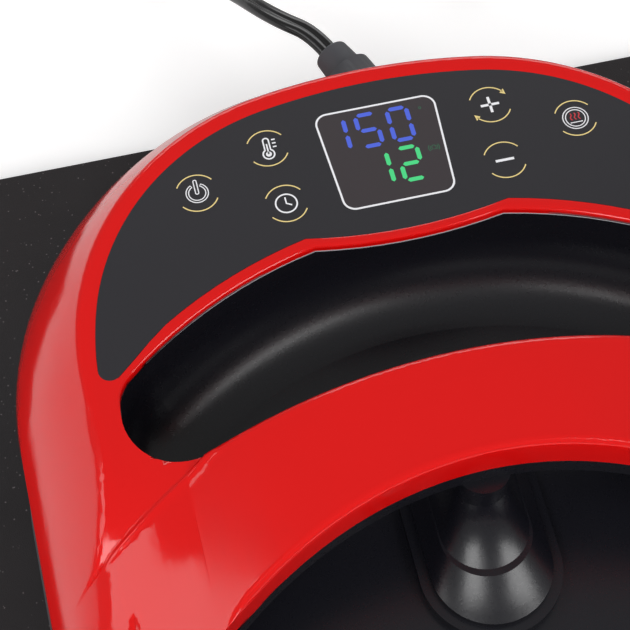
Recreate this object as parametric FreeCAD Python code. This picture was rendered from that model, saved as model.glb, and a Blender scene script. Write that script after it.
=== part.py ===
import FreeCAD, Part
import math
import os

# Manual heat press on its pressing pad.
# Millimetres. The origin is on the table under the middle of the pad.
# +X is the operator's right, +Y the back edge with the cord, +Z up.

os.makedirs("parts", exist_ok=True)
V = FreeCAD.Vector
UP = V(0, 0, 1)

# Pressing pad
PAD_WIDTH = 380.0
PAD_DEPTH = 330.0
PAD_THICKNESS = 10.0
PAD_CORNER = 8.0

# Plan of the press body at its lower edge
BODY_HALF_WIDTH = 145.0
BODY_BACK = 151.0
BODY_FRONT = -158.0
BACK_ARC = 250.0
BACK_CORNER = 122.0
FRONT_ARC = 420.0
FRONT_CORNER = 85.0

# Rise of the red shell from its lower edge to the flat shoulder
SIDE_INSET = 26.5
FRONT_INSET = 113.0
LIP_HEIGHT = 4.0
SHELL_RISE = 48.0
SHELL_WALL = 3.0
SHOULDER_FILLET = 3.0

# Heights of the stack below the shell
PLATE_THICKNESS = 12.0
PLATE_GAP = 0.8
HOUSING_HEIGHT = 18.9
DECK_DROP = 2.7
DECK_THICKNESS = 2.5
HOUSING_WALL = 3.0
FIT = 0.3

# Heat plate in plan
PLATE_HALF_WIDTH = 147.0
PLATE_BACK = 121.0
PLATE_FRONT = -154.0
PLATE_ARC = 250.0
PLATE_CORNER = 110.0
PILLAR_DIAMETER = 14.0
ELEMENT_DIAMETER = 6.6
ELEMENT_INSET = 40.0
ELEMENT_SINK = 2.0
ELEMENT_GAP_HALF = 24.0
TERMINAL_DIAMETER = 4.0
TERMINAL_RISE = 22.0
PLATE_EDGE = 1.5
BLANKET_THICKNESS = 10.0
BLANKET_INSET = 9.0
SHIELD_THICKNESS = 0.8
CUTOUT_Y = 40.0
CUTOUT_DIAMETER = 16.0
CUTOUT_RIM_DIAMETER = 20.0
CUTOUT_HEIGHT = 6.0
TAB_PITCH = 10.0
TAB_WIDTH = 6.0
TAB_THICKNESS = 0.8
TAB_HEIGHT = 5.0
SENSOR_PLACE = (45.0, 37.0)
SENSOR_DIAMETER = 5.2
SENSOR_LENGTH = 16.0
SENSOR_CLEAR = 0.6
CLIP_LENGTH = 22.0
CLIP_WIDTH = 8.0
CLIP_THICKNESS = 1.0
SADDLE_START = 4.0
SADDLE_LENGTH = 6.0
SADDLE_HEIGHT = 7.0

# Recess behind the handle, and the handle band
RECESS_ARC = 160.0
RECESS_BACK = 58.5
RECESS_END = 19.0
RECESS_BROW = 52.0
BROW_ARC = 183.0
HANDLE_BACK = -2.0
HANDLE_BACK_ARC = 400.0
HANDLE_FRONT = -39.0
HANDLE_FRONT_ARC = 150.0
HANDLE_RISE = 20.0
HANDLE_ARCH = 221.0
HANDLE_DEPTH = 14.0
RIM_DEPTH = 5.0
HANDLE_HALF_SPAN = 100.0
HANDLE_ROOT = 117.0
HANDLE_ROOT_DEPTH = 22.0
HANDLE_FILLET = 2.5
UNDERSIDE_DEPTH = 7.0
UNDERSIDE_HALF_SPAN = 88.0

# Opening in front of the handle
OPENING_HALF_WIDTH = 104.0
OPENING_FRONT = -117.0
OPENING_REAR_CORNER = 20.0
OPENING_FRONT_CORNER = 25.0

# Black inner tub
TUB_HALF_WIDTH = 108.7
TUB_CORNER = 34.0
TUB_FRONT = -127.0
TUB_FRONT_ARC = 1400.0
TUB_FRONT_CORNER = 28.0
TUB_CLEAR = 2.5
TUB_WALL = 2.5
TUB_SCOOP = 24.0
TUB_FLOOR_DROP = 42.0
TUB_FEET = [(60.0, 10.0), (60.0, -62.0)]

# Stepped neck between the tub and the handle
NECK_Y = -26.0
NECK_STRAIGHT = 29.0
NECK_STEPS = ((24.0, 4.0), (20.5, 2.5))
NECK_FLARE = ((20.5, 29.0, 0.0), (17.5, 23.0, 4.0), (15.5, 20.0, 7.0))
NECK_CORE = ((15.0, 18.0, 0.0), (11.0, 12.0, 8.0), (9.0, 9.0, 17.0))
NECK_HOLE_DEPTH = 22.0

# Control panel
PANEL_RIM = 6.0
PANEL_TRIM = 6.0
PANEL_TIP = 4.0
OVERLAY_THICKNESS = 0.5
WINDOW_BACK = 108.1
WINDOW_FRONT = 67.7
WINDOW_HALF_BACK = 21.7
WINDOW_HALF_FRONT = 19.4
WINDOW_CORNER = 4.2
LENS_THICKNESS = 2.0
KEY_ROW = 99.0
KEYS = {
    "power": (-67.9, -12.5),
    "temp": (-40.2, 0.0),
    "timer": (-38.8, -23.6),
    "plus": (40.2, 0.0),
    "minus": (38.8, -23.6),
    "heat": (67.9, -12.5),
}
KEY_DIAMETER = 9.0
KEY_FLANGE_DIAMETER = 12.0
KEY_FLANGE = 1.2
KEY_TRAVEL = 0.3
KEY_SLACK = 0.3
KEY_STEM_DIAMETER = 5.0
KEY_STEM = 3.0
SWITCH_SIZE = 6.0
SWITCH_HEIGHT = 3.6
SWITCH_BUTTON_DIAMETER = 3.4
SWITCH_BUTTON_RISE = 0.8
SWITCH_FOOT = 1.0
SWITCH_FLOOR = 0.7
SWITCH_LID = 0.5
WINDOW_LEDGE = 1.2
MODULE_HALF_WIDTH = 15.0
MODULE_MARGIN = 4.0
BUZZER_PLACE = (26.0, 90.1)
BUZZER_DIAMETER = 9.0
BUZZER_HEIGHT = 5.5
BUZZER_HOLE = 2.0

# Boards
BOARD_THICKNESS = 1.6
CONTROL_HALF_WIDTH = 84.0
CONTROL_MARGIN = 8.0
POWER_WIDTH = 92.0
POWER_DEPTH = 44.0
POWER_Y = 92.0
POWER_POST = 6.0
BLOCK_PITCH = 10.0
BLOCK_DEPTH = 10.0
BLOCK_HEIGHT = 10.0
BLOCK_MARGIN = 1.0
BLOCK_WAYS = 4
POST_DIAMETER = 7.0
POST_INSET = 5.0
RELAY_X = 20.0
RELAY_WIDTH = 20.0
RELAY_DEPTH = 16.0
RELAY_HEIGHT = 15.5
CORE_X = -22.0
CORE_WIDTH = 24.0
CORE_FRONT = -14.0
CORE_BACK = 6.0
CORE_LIFT = 2.0
CORE_HEIGHT = 16.0
BOBBIN_WIDTH = 18.0
BOBBIN_PROUD = 3.0
BOBBIN_HEIGHT = 15.0
POWER_SCREW_HEAD = 5.6
POWER_SCREW_HEAD_HEIGHT = 1.8
POWER_SCREW_DIAMETER = 2.6
POWER_SCREW_LENGTH = 6.0
RIBBON_X = 38.0
RIBBON_Y = 83.0
RIBBON_WIDTH = 12.0
RIBBON_THICKNESS = 0.8
RIBBON_PLUG_WIDTH = 14.0
RIBBON_PLUG_DEPTH = 5.0
RIBBON_PLUG_HEIGHT = 6.0

# Cord, boot and plug
CORD_WIDTH = 7.4
BOOT_DIAMETER = 14.0
BOOT_LENGTH = 11.0
BOOT_INSIDE = 12.0
BOOT_TAPER = 0.8
BOOT_NECK_DIAMETER = 10.6
BOOT_RIM = 1.2
BOOT_FLANGE = 3.0
BOOT_HEIGHT = 68.0
BOOT_X = -0.5
BOOT_HEADING = 22.0
OUTLET_DIAMETER = 19.0
OUTLET_DEPTH = 14.0
OUTLET_WALL = 2.0
OUTLET_Y = 142.0
PLUG_LENGTH = 34.0
PLUG_WIDTH = 22.0
PLUG_HEIGHT = 15.0
PLUG_LIFT = 0.1
PLUG_NECK = 11.3
PLUG_ROUND = 5.0
PLUG_NECK_ROUND = 1.5
BLADE_LENGTH = 17.0
BLADE_WIDTH = 6.3
BLADE_THICKNESS = 1.5
BLADE_PITCH = 12.7
LEAD_DIAMETER = 2.4

# Route of the cord from the boot to the coil, and on from the coil to the plug
CORD_ROUTE = [
    (-18.2, 173.8, 64.6),
    (-25.2, 188.0, 57.5),
    (-30.0, 204.5, 46.5),
    (-36.0, 221.5, 34.0),
    (-43.5, 239.0, 22.0),
    (-51.0, 257.5, 12.8),
    (-57.2, 277.0, 7.0),
    (-60.0, 296.5, 4.4),
]
CORD_FIRST_RUN = 11.5
CORD_LAST_RUN = 12.0
COIL_LEAD_IN = 22.0
COIL_BOTTOM = 3.8
COIL_CENTRE = (-6.0, 342.0)
COIL_OUTER = 54.0
COIL_INNER = 30.0
COIL_TURNS_IN = 3.0
COIL_STEP = 8.0
COIL_LIFT = 8.0
END_ROUTE = [
    (50.6, 310.8, 10.9),
    (54.9, 299.5, 8.9),
]
END_FIRST_RUN = 12.0
PLUG_ENTRY = (62.9, 277.1)
PLUG_TURN = 19.65

# Screws
SCREW_DIAMETER = 3.5
BOARD_SCREW_DIAMETER = 2.4
SCREW_HEAD = 6.4
SCREW_HEAD_HEIGHT = 2.2
BOSS_DIAMETER = 9.0
SHELL_SCREW_LENGTH = 18.0
NECK_SCREW_LENGTH = 32.0
PLATE_SCREW_LENGTH = 14.0
CONTROL_SCREW_LENGTH = 7.0
CLEARANCE = 0.4
THREAD_CLEARANCE = 0.2

# Heights worked out from the stack
PLATE_TOP = PAD_THICKNESS + PLATE_THICKNESS
HOUSING_BOTTOM = PLATE_TOP + PLATE_GAP
SHELL_BOTTOM = HOUSING_BOTTOM + HOUSING_HEIGHT
DECK_TOP = SHELL_BOTTOM - DECK_DROP
DECK_BOTTOM = DECK_TOP - DECK_THICKNESS
LIP_TOP = SHELL_BOTTOM + LIP_HEIGHT
SHELL_TOP = LIP_TOP + SHELL_RISE
SEAT = SHELL_TOP - OVERLAY_THICKNESS
TUB_FLOOR = SHELL_TOP - TUB_FLOOR_DROP
HANDLE_TOP = SHELL_TOP + HANDLE_RISE
KEY_TOP = SEAT - KEY_TRAVEL / 3
FLANGE_TOP = SHELL_TOP - SHELL_WALL - FIT / 2
KEY_BOTTOM = FLANGE_TOP - KEY_FLANGE - KEY_STEM
SWITCH_TOP = KEY_BOTTOM - SWITCH_BUTTON_RISE
CONTROL_TOP = SWITCH_TOP - SWITCH_HEIGHT
CONTROL_BOTTOM = CONTROL_TOP - BOARD_THICKNESS

# Screw places
SHELL_BOSSES = [(117.0, 62.0), (124.0, -40.0), (92.0, -128.0), (60.0, 127.0)]
PLATE_PILLARS = [(70.0, 80.0), (118.0, 6.0), (103.0, -110.0), (20.0, -26.0)]
CONTROL_POSTS = [(78.0, 68.0), (56.0, 108.0), (28.0, 110.0)]
NECK_SCREWS = [-46.0, -6.0]


def save(name, *solids):
    """Write one node, as one solid or as a group of separate solids."""
    shape = solids[0] if len(solids) == 1 else Part.makeCompound(list(solids))
    shape.exportStep("parts/%s.step" % name)


def both_sides(points):
    """The same places on the right and on the left."""
    return [(side * x, y) for x, y in points for side in (1, -1)]


def cylinder(diameter, height, x, y, z, axis=UP):
    return Part.makeCylinder(diameter / 2, height, V(x, y, z), axis)


def box(x0, x1, y0, y1, z0, z1):
    return Part.makeBox(x1 - x0, y1 - y0, z1 - z0, V(x0, y0, z0))


def tube(outer, inner, height, x, y, z, axis=UP):
    return cylinder(outer, height, x, y, z, axis).cut(cylinder(inner, height, x, y, z, axis))


def arc(start, middle, end):
    return Part.Arc(start, middle, end).toShape()


def rounded_end(half, edge, long_arc, corner, grow, side):
    """Side point, corner middle and join of one curved end, on the right."""
    centre_y = edge - side * long_arc
    reach = long_arc - corner
    dx = half - corner
    dy = math.sqrt(reach ** 2 - dx ** 2)
    corner_y = centre_y + side * dy
    radius = corner + grow
    turn = math.atan2(dy, dx) / 2
    flank = (half + grow, corner_y)
    middle = (dx + radius * math.cos(turn), corner_y + side * radius * math.sin(turn))
    join = (dx + radius * dx / reach, corner_y + side * radius * dy / reach)
    return flank, middle, join


def outline(back, front, grow, z):
    """Closed plan outline: each end is (half width, edge, long arc, corner)."""
    flank_b, mid_b, join_b = rounded_end(*back, grow, 1)
    flank_f, mid_f, join_f = rounded_end(*front, grow, -1)

    def at(point, side=1):
        return V(side * point[0], point[1], z)

    return Part.Wire([
        Part.makeLine(at(flank_f), at(flank_b)),
        arc(at(flank_b), at(mid_b), at(join_b)),
        arc(at(join_b), V(0, back[1] + grow, z), at(join_b, -1)),
        arc(at(join_b, -1), at(mid_b, -1), at(flank_b, -1)),
        Part.makeLine(at(flank_b, -1), at(flank_f, -1)),
        arc(at(flank_f, -1), at(mid_f, -1), at(join_f, -1)),
        arc(at(join_f, -1), V(0, front[1] - grow, z), at(join_f)),
        arc(at(join_f), at(mid_f), at(flank_f)),
    ])


def prism(wire, height):
    return Part.Face(wire).extrude(V(0, 0, height))


BODY_ENDS = (
    (BODY_HALF_WIDTH, BODY_BACK, BACK_ARC, BACK_CORNER),
    (BODY_HALF_WIDTH, BODY_FRONT, FRONT_ARC, FRONT_CORNER),
)
PLATE_ENDS = (
    (PLATE_HALF_WIDTH, PLATE_BACK, PLATE_ARC, PLATE_CORNER),
    (PLATE_HALF_WIDTH, PLATE_FRONT, FRONT_ARC, FRONT_CORNER),
)
TUB_ENDS = (
    (TUB_HALF_WIDTH, RECESS_BACK, RECESS_ARC, TUB_CORNER),
    (TUB_HALF_WIDTH, TUB_FRONT, TUB_FRONT_ARC, TUB_FRONT_CORNER),
)


def body_prism(grow, z0, z1):
    return prism(outline(*BODY_ENDS, grow, z0), z1 - z0)


def shell_section(rise, inset, z):
    """Outline of the shell at a share of its rise: the front falls back furthest."""
    side = SIDE_INSET * (0.65 * rise + 0.35 * rise ** 2)
    front = FRONT_INSET * (0.4 * rise + 0.6 * rise ** 2)
    back_end = (BODY_HALF_WIDTH - side, BODY_BACK - side, BACK_ARC - side, BACK_CORNER - side)
    front_end = (BODY_HALF_WIDTH - side, BODY_FRONT + front, FRONT_ARC - side, FRONT_CORNER - side)
    return outline(back_end, front_end, -inset, z)


def shell_loft(inset):
    """Lip and sloping walls up to the shoulder, inset for the inner face."""
    shares = (0.0, 0.35, 0.7, 1.0)
    wires = [shell_section(s, inset, LIP_TOP + s * (SHELL_RISE - inset)) for s in shares]
    lip = body_prism(-inset, SHELL_BOTTOM, LIP_TOP)
    return Part.makeLoft(wires, True, False).fuse(lip).removeSplitter()


def disc(radius, y, z0, z1):
    return Part.makeCylinder(radius, z1 - z0, V(0, y, z0))


def crescent(z0, z1):
    """Recess in plan: a lens with round ends, its back edge bowed at the brow."""
    top_y = RECESS_BACK - RECESS_ARC
    low_y = HANDLE_BACK - HANDLE_BACK_ARC
    near = RECESS_ARC - RECESS_END
    far = HANDLE_BACK_ARC + RECESS_END
    end_y = (far ** 2 - near ** 2 - low_y ** 2 + top_y ** 2) / (2 * (top_y - low_y))
    end_x = math.sqrt(near ** 2 - (end_y - top_y) ** 2)
    up = V(end_x, end_y - top_y, 0).normalize() * RECESS_END
    down = V(-end_x, low_y - end_y, 0).normalize() * RECESS_END
    centre = V(end_x, end_y, z0)
    upper = centre + up
    lower = centre + down
    outer = centre + V(RECESS_END, 0, 0)

    def left(p):
        return V(-p.x, p.y, p.z)

    wire = Part.Wire([
        arc(lower, outer, upper),
        arc(upper, V(0, RECESS_BACK, z0), left(upper)),
        arc(left(upper), left(outer), left(lower)),
        arc(left(lower), V(0, HANDLE_BACK, z0), lower),
    ])
    brow = disc(BROW_ARC, RECESS_BROW + BROW_ARC, z0, z1)
    return prism(wire, z1 - z0).cut(brow)


def vertical_edges(solid, test):
    """Upright edges of a prism whose place passes the test."""
    found = []
    for edge in solid.Edges:
        a, b = edge.Vertexes[0].Point, edge.Vertexes[-1].Point
        if abs(a.x - b.x) < 1e-4 and abs(a.y - b.y) < 1e-4 and test(a):
            found.append(edge)
    return found


def opening(grow, z0, z1):
    """Opening in front of the handle, grown by the thickness of its rim wall."""
    half = OPENING_HALF_WIDTH + grow
    block = box(-half, half, OPENING_FRONT - grow, 0, z0, z1)
    block = block.common(disc(HANDLE_FRONT_ARC + grow, HANDLE_FRONT - HANDLE_FRONT_ARC, z0, z1))
    front = vertical_edges(block, lambda p: p.y < OPENING_FRONT + 1)
    block = block.makeFillet(OPENING_FRONT_CORNER + grow, front)
    rear = vertical_edges(block, lambda p: p.y > OPENING_FRONT + OPENING_FRONT_CORNER + 1)
    return block.makeFillet(OPENING_REAR_CORNER + grow, rear)


def arch(drop):
    """Arched block whose top is the handle's top, lowered by drop."""
    start = V(0, HANDLE_FRONT - HANDLE_FRONT_ARC, HANDLE_TOP - HANDLE_ARCH - drop)
    return Part.makeCylinder(HANDLE_ARCH, HANDLE_FRONT_ARC + RECESS_BACK - HANDLE_FRONT, start, V(0, 1, 0))


def band(wall, half_span):
    """Plan of the handle between its two arcs, thinned by a wall."""
    z0, z1 = TUB_FLOOR, HANDLE_TOP + 1
    back = disc(HANDLE_BACK_ARC - wall, HANDLE_BACK - HANDLE_BACK_ARC, z0, z1)
    front = disc(HANDLE_FRONT_ARC + wall, HANDLE_FRONT - HANDLE_FRONT_ARC, z0, z1)
    strip = box(-half_span, half_span, HANDLE_FRONT - 60, RECESS_BACK, z0, z1)
    return strip.common(back).cut(front)


def panel(grow, z0, z1):
    """Plan of the control panel: the shoulder outline less the recess side."""
    side = SIDE_INSET + PANEL_RIM - grow
    back_end = (BODY_HALF_WIDTH - side, BODY_BACK - side, BACK_ARC - side, BACK_CORNER - side)
    front_end = (BODY_HALF_WIDTH - side, OPENING_FRONT, FRONT_ARC, FRONT_CORNER - side)
    area = prism(outline(back_end, front_end, 0, z0), z1 - z0)
    inner = disc(RECESS_ARC + PANEL_TRIM - grow, RECESS_BACK - RECESS_ARC, z0, z1)
    brow = disc(BROW_ARC - PANEL_TRIM + 1 + grow, RECESS_BROW + BROW_ARC, z0, z1)
    area = area.cut(inner.cut(brow))
    area = area.cut(box(-200, 200, OPENING_FRONT - 100, HANDLE_BACK + 16, z0, z1))
    area = max(area.Solids, key=lambda s: s.Volume)
    tips = vertical_edges(area, lambda p: p.y < HANDLE_BACK + 30)
    return area.makeFillet(PANEL_TIP, tips)


def window(grow, z0, z1):
    """Display window: a trapezium with round corners."""
    a, b = WINDOW_HALF_BACK + grow, WINDOW_HALF_FRONT + grow
    y0, y1 = WINDOW_FRONT - grow, WINDOW_BACK + grow
    points = [V(-b, y0, z0), V(b, y0, z0), V(a, y1, z0), V(-a, y1, z0), V(-b, y0, z0)]
    block = prism(Part.makePolygon(points), z1 - z0)
    return block.makeFillet(WINDOW_CORNER, vertical_edges(block, lambda p: True))


def stadium(half_width, half_straight, z):
    """Round-ended plan of one step of the neck, long in Y."""
    y0, y1 = NECK_Y - half_straight, NECK_Y + half_straight
    r = half_width
    return Part.Wire([
        Part.makeLine(V(r, y0, z), V(r, y1, z)),
        arc(V(r, y1, z), V(0, y1 + r, z), V(-r, y1, z)),
        Part.makeLine(V(-r, y1, z), V(-r, y0, z)),
        arc(V(-r, y0, z), V(0, y0 - r, z), V(r, y0, z)),
    ])


def screw(x, y, z, length, axis=UP, diameter=SCREW_DIAMETER):
    """Pan-head screw: z is the height of the seat under its head."""
    shank = Part.makeCylinder(diameter / 2, length, V(x, y, z), axis)
    head = Part.makeCylinder(SCREW_HEAD / 2, SCREW_HEAD_HEIGHT, V(x, y, z) - axis * SCREW_HEAD_HEIGHT, axis)
    rim = [e for e in head.Edges if e.Length > SCREW_HEAD and (e.CenterOfMass - V(x, y, z)).Length > 1]
    head = head.makeFillet(SCREW_HEAD_HEIGHT / 3, rim)
    return shank.fuse(head)


def build_pad():
    pad = box(-PAD_WIDTH / 2, PAD_WIDTH / 2, -PAD_DEPTH / 2, PAD_DEPTH / 2, 0, PAD_THICKNESS)
    pad = pad.makeFillet(PAD_CORNER, vertical_edges(pad, lambda p: True))
    save("pressing_pad", pad)


def element_path(z):
    """Racetrack of the heater, open at the back between its terminals."""
    back, front = PLATE_ENDS
    flank_b, mid_b, join_b = rounded_end(*back, -ELEMENT_INSET, 1)
    flank_f, mid_f, join_f = rounded_end(*front, -ELEMENT_INSET, -1)
    long_y = back[1] - back[2]
    radius = back[2] - ELEMENT_INSET

    def on_back(x):
        return V(x, long_y + math.sqrt(radius ** 2 - x ** 2), z)

    def at(point, side=1):
        return V(side * point[0], point[1], z)

    middle = (ELEMENT_GAP_HALF + join_b[0]) / 2
    return Part.Wire([
        arc(on_back(ELEMENT_GAP_HALF), on_back(middle), at(join_b)),
        arc(at(join_b), at(mid_b), at(flank_b)),
        Part.makeLine(at(flank_b), at(flank_f)),
        arc(at(flank_f), at(mid_f), at(join_f)),
        arc(at(join_f), V(0, front[1] + ELEMENT_INSET, z), at(join_f, -1)),
        arc(at(join_f, -1), at(mid_f, -1), at(flank_f, -1)),
        Part.makeLine(at(flank_f, -1), at(flank_b, -1)),
        arc(at(flank_b, -1), at(mid_b, -1), at(join_b, -1)),
        arc(at(join_b, -1), on_back(-middle), on_back(-ELEMENT_GAP_HALF)),
    ])


def sweep(path, radius):
    """Round section carried along a path."""
    start = path.OrderedEdges[0]
    first = start.valueAt(start.FirstParameter)
    if (first - path.OrderedVertexes[0].Point).Length > 1e-3:
        first = start.valueAt(start.LastParameter)
    towards = path.OrderedVertexes[1].Point - first
    tangent = start.tangentAt(start.FirstParameter)
    if tangent.dot(towards) < 0:
        tangent = tangent * -1
    ring = Part.Wire(Part.Circle(first, tangent, radius).toShape())
    return path.makePipeShell([ring], True, False)


def build_plate():
    """Cast plate with the heater in a groove and pillars that carry the deck."""
    z = PLATE_TOP - ELEMENT_SINK
    path = element_path(z)
    element = sweep(path, ELEMENT_DIAMETER / 2)
    groove = sweep(path, ELEMENT_DIAMETER / 2 + FIT / 3)
    plate = prism(outline(*PLATE_ENDS, 0, PAD_THICKNESS), PLATE_THICKNESS)
    lower = [e for e in plate.Edges if e.BoundBox.ZMax < PAD_THICKNESS + 0.01]
    plate = plate.makeFillet(PLATE_EDGE, lower)
    terminals = []
    for side in (1, -1):
        end = path.OrderedVertexes[0 if side > 0 else -1].Point
        terminals.append(cylinder(ELEMENT_DIAMETER, TERMINAL_RISE / 2, end.x, end.y, z))
        terminals.append(cylinder(TERMINAL_DIAMETER, TERMINAL_RISE, end.x, end.y, z))
        low = z - ELEMENT_DIAMETER / 2
        plate = plate.cut(cylinder(ELEMENT_DIAMETER + FIT, PLATE_THICKNESS, end.x, end.y, low))
        terminals.append(Part.makeSphere(ELEMENT_DIAMETER / 2, end))
    plate = plate.cut(groove)
    for x, y in both_sides(PLATE_PILLARS):
        pillar = cylinder(PILLAR_DIAMETER, DECK_BOTTOM - PLATE_TOP + 1, x, y, PLATE_TOP - 1)
        plate = plate.fuse(pillar)
    for x, y in both_sides(PLATE_PILLARS):
        depth = DECK_BOTTOM - PLATE_TOP
        plate = plate.cut(cylinder(SCREW_DIAMETER + THREAD_CLEARANCE, depth, x, y, DECK_BOTTOM - depth))
    save("heat_plate", plate.removeSplitter())
    save("heating_element", element.multiFuse(terminals))
    return [path.OrderedVertexes[0].Point, path.OrderedVertexes[-1].Point]


def build_insulation(terminals):
    """Glass-wool blanket and bright shield between plate and deck."""
    blanket = prism(outline(*PLATE_ENDS, -BLANKET_INSET, PLATE_TOP), BLANKET_THICKNESS)
    groove = sweep(element_path(PLATE_TOP - ELEMENT_SINK), ELEMENT_DIAMETER / 2 + 4 * FIT)
    blanket = blanket.cut(groove)
    shield = prism(outline(*PLATE_ENDS, -BLANKET_INSET, PLATE_TOP + BLANKET_THICKNESS), SHIELD_THICKNESS)
    high = PLATE_TOP + 2 * BLANKET_THICKNESS
    x, y = SENSOR_PLACE
    x0, x1 = x - CLIP_THICKNESS * 3, x - CLIP_THICKNESS * 3 + CLIP_LENGTH
    y0, y1 = y - CLIP_WIDTH / 2, y + CLIP_WIDTH / 2
    holes = [cylinder(PILLAR_DIAMETER + 1, high - PLATE_TOP, px, py, PLATE_TOP)
             for px, py in both_sides(PLATE_PILLARS)]
    holes += [cylinder(ELEMENT_DIAMETER + 4, high - PLATE_TOP, p.x, p.y, PLATE_TOP) for p in terminals]
    holes.append(cylinder(CUTOUT_RIM_DIAMETER + 2, high - PLATE_TOP, 0, CUTOUT_Y, PLATE_TOP))
    holes.append(box(x0 - 2, x1 + 2, y0 - 3, y1 + 3, PLATE_TOP, high))
    save("insulation_blanket", blanket.cut(Part.makeCompound(holes)))
    save("heat_shield", shield.cut(Part.makeCompound(holes)))
    body = cylinder(CUTOUT_DIAMETER, CUTOUT_HEIGHT, 0, CUTOUT_Y, PLATE_TOP)
    body = body.fuse(cylinder(CUTOUT_RIM_DIAMETER, CLIP_THICKNESS, 0, CUTOUT_Y, PLATE_TOP))
    tab_y0, tab_y1 = CUTOUT_Y - TAB_THICKNESS / 2, CUTOUT_Y + TAB_THICKNESS / 2
    tab_z = PLATE_TOP + CUTOUT_HEIGHT
    tabs = [box(tab_x - TAB_WIDTH / 2, tab_x + TAB_WIDTH / 2, tab_y0, tab_y1, tab_z, tab_z + TAB_HEIGHT)
            for tab_x in (-TAB_PITCH / 2, TAB_PITCH / 2)]
    save("thermal_cutout", body.multiFuse(tabs))
    height = PLATE_TOP + SENSOR_DIAMETER / 2 + SENSOR_CLEAR
    bead = Part.makeCylinder(SENSOR_DIAMETER / 2, SENSOR_LENGTH, V(x, y, height), V(1, 0, 0))
    clip = box(x0, x1, y0, y1, PLATE_TOP, PLATE_TOP + CLIP_THICKNESS)
    saddle_x = x + SADDLE_START
    saddle = box(saddle_x, saddle_x + SADDLE_LENGTH, y0, y1, PLATE_TOP, PLATE_TOP + SADDLE_HEIGHT)
    save("temperature_sensor", bead)
    save("sensor_clip", clip.fuse(saddle).cut(bead))


def power_screw_places():
    x, y = POWER_WIDTH / 2 - POST_INSET, POWER_DEPTH / 2 - POST_INSET
    return [(side_x * x, POWER_Y + side_y * y) for side_x in (-1, 1) for side_y in (-1, 1)]


def build_lower_housing(terminals):
    """Black skirt and deck that carry the shell above the hot plate."""
    skirt = body_prism(-0.5, HOUSING_BOTTOM, SHELL_BOTTOM).cut(
        body_prism(-0.5 - 2 * HOUSING_WALL, HOUSING_BOTTOM, SHELL_BOTTOM))
    spigot = body_prism(-SHELL_WALL - FIT, DECK_BOTTOM, LIP_TOP).cut(
        body_prism(-SHELL_WALL - FIT - HOUSING_WALL, DECK_BOTTOM, LIP_TOP))
    deck = body_prism(-HOUSING_WALL, DECK_BOTTOM, DECK_TOP)
    housing = skirt.fuse(spigot).fuse(deck)
    places = both_sides(PLATE_PILLARS + SHELL_BOSSES) + [(0, y) for y in NECK_SCREWS]
    z, through = DECK_BOTTOM - 1, DECK_THICKNESS + 2
    holes = [cylinder(SCREW_DIAMETER + CLEARANCE, through, x, y, z) for x, y in places]
    holes += [cylinder(TERMINAL_DIAMETER + 3, through, p.x, p.y, z) for p in terminals]
    holes.append(cylinder(3 * LEAD_DIAMETER, through, 0, POWER_Y - POWER_DEPTH / 2 - 8, z))
    posts = [tube(POST_DIAMETER, POWER_SCREW_DIAMETER + FIT, POWER_POST, x, y, DECK_TOP)
             for x, y in power_screw_places()]
    housing = housing.cut(Part.makeCompound(holes))
    save("lower_housing", housing.multiFuse(posts).removeSplitter())


def tub_block(grow, z0):
    """Bowl form with a wide scoop where its walls meet the floor."""
    block = prism(outline(*TUB_ENDS, grow, z0), HANDLE_TOP - z0)
    lower = [e for e in block.Edges if e.BoundBox.ZMax < z0 + 0.01]
    return block.makeFillet(TUB_SCOOP, lower)


def build_tub():
    """Black bowl seen behind and in front of the handle."""
    inner = tub_block(TUB_CLEAR, TUB_FLOOR)
    outer = tub_block(TUB_CLEAR + TUB_WALL, TUB_FLOOR - TUB_WALL)
    lid = shell_loft(SHELL_WALL + FIT)
    tub = outer.cut(inner).common(lid)
    foot = TUB_FLOOR - TUB_WALL / 2 - DECK_TOP
    feet = [cylinder(BOSS_DIAMETER + 3, foot, 0, y, DECK_TOP) for y in NECK_SCREWS]
    feet += [cylinder(BOSS_DIAMETER, foot, x, y, DECK_TOP) for x, y in both_sides(TUB_FEET)]
    tub = tub.multiFuse(feet)
    holes = [cylinder(SCREW_DIAMETER + CLEARANCE, 40, 0, y, DECK_TOP - 10) for y in NECK_SCREWS]
    save("inner_tub", tub.cut(Part.makeCompound(holes)).removeSplitter())


def build_neck():
    """Stepped and flared neck that carries the middle of the handle."""
    z = TUB_FLOOR
    steps = []
    for half_width, height in NECK_STEPS:
        steps.append(prism(stadium(half_width, NECK_STRAIGHT, z), height))
        z += height
    flare = Part.makeLoft([stadium(w, s, z + h) for w, s, h in NECK_FLARE], True, False)
    z += NECK_FLARE[-1][2]
    core = Part.makeLoft([stadium(w, s, z + h) for w, s, h in NECK_CORE], True, False)
    z += NECK_CORE[-1][2]
    top_half, top_straight = NECK_CORE[-1][0], NECK_CORE[-1][1]
    column = prism(stadium(top_half, top_straight, z), HANDLE_TOP - z)
    column = column.common(arch(HANDLE_DEPTH + UNDERSIDE_DEPTH))
    neck = steps[0].multiFuse(steps[1:] + [flare, core, column])
    holes = [cylinder(SCREW_DIAMETER + THREAD_CLEARANCE, NECK_HOLE_DEPTH, 0, y, TUB_FLOOR)
             for y in NECK_SCREWS]
    save("centre_neck", neck.cut(Part.makeCompound(holes)).removeSplitter())


def boot_axis():
    turn = math.radians(BOOT_HEADING)
    return V(-math.sin(turn), math.cos(turn), 0)


def boot_point(along):
    """A point on the boot's axis, measured from the outlet's face."""
    return V(BOOT_X, OUTLET_Y, BOOT_HEIGHT) + boot_axis() * along


def hanging(walls, solid, depth):
    """The part of some upright walls that lies within a depth of the outer surface."""
    lowered = solid.copy()
    lowered.translate(V(0, 0, -depth))
    return walls.common(solid).cut(lowered)


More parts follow.
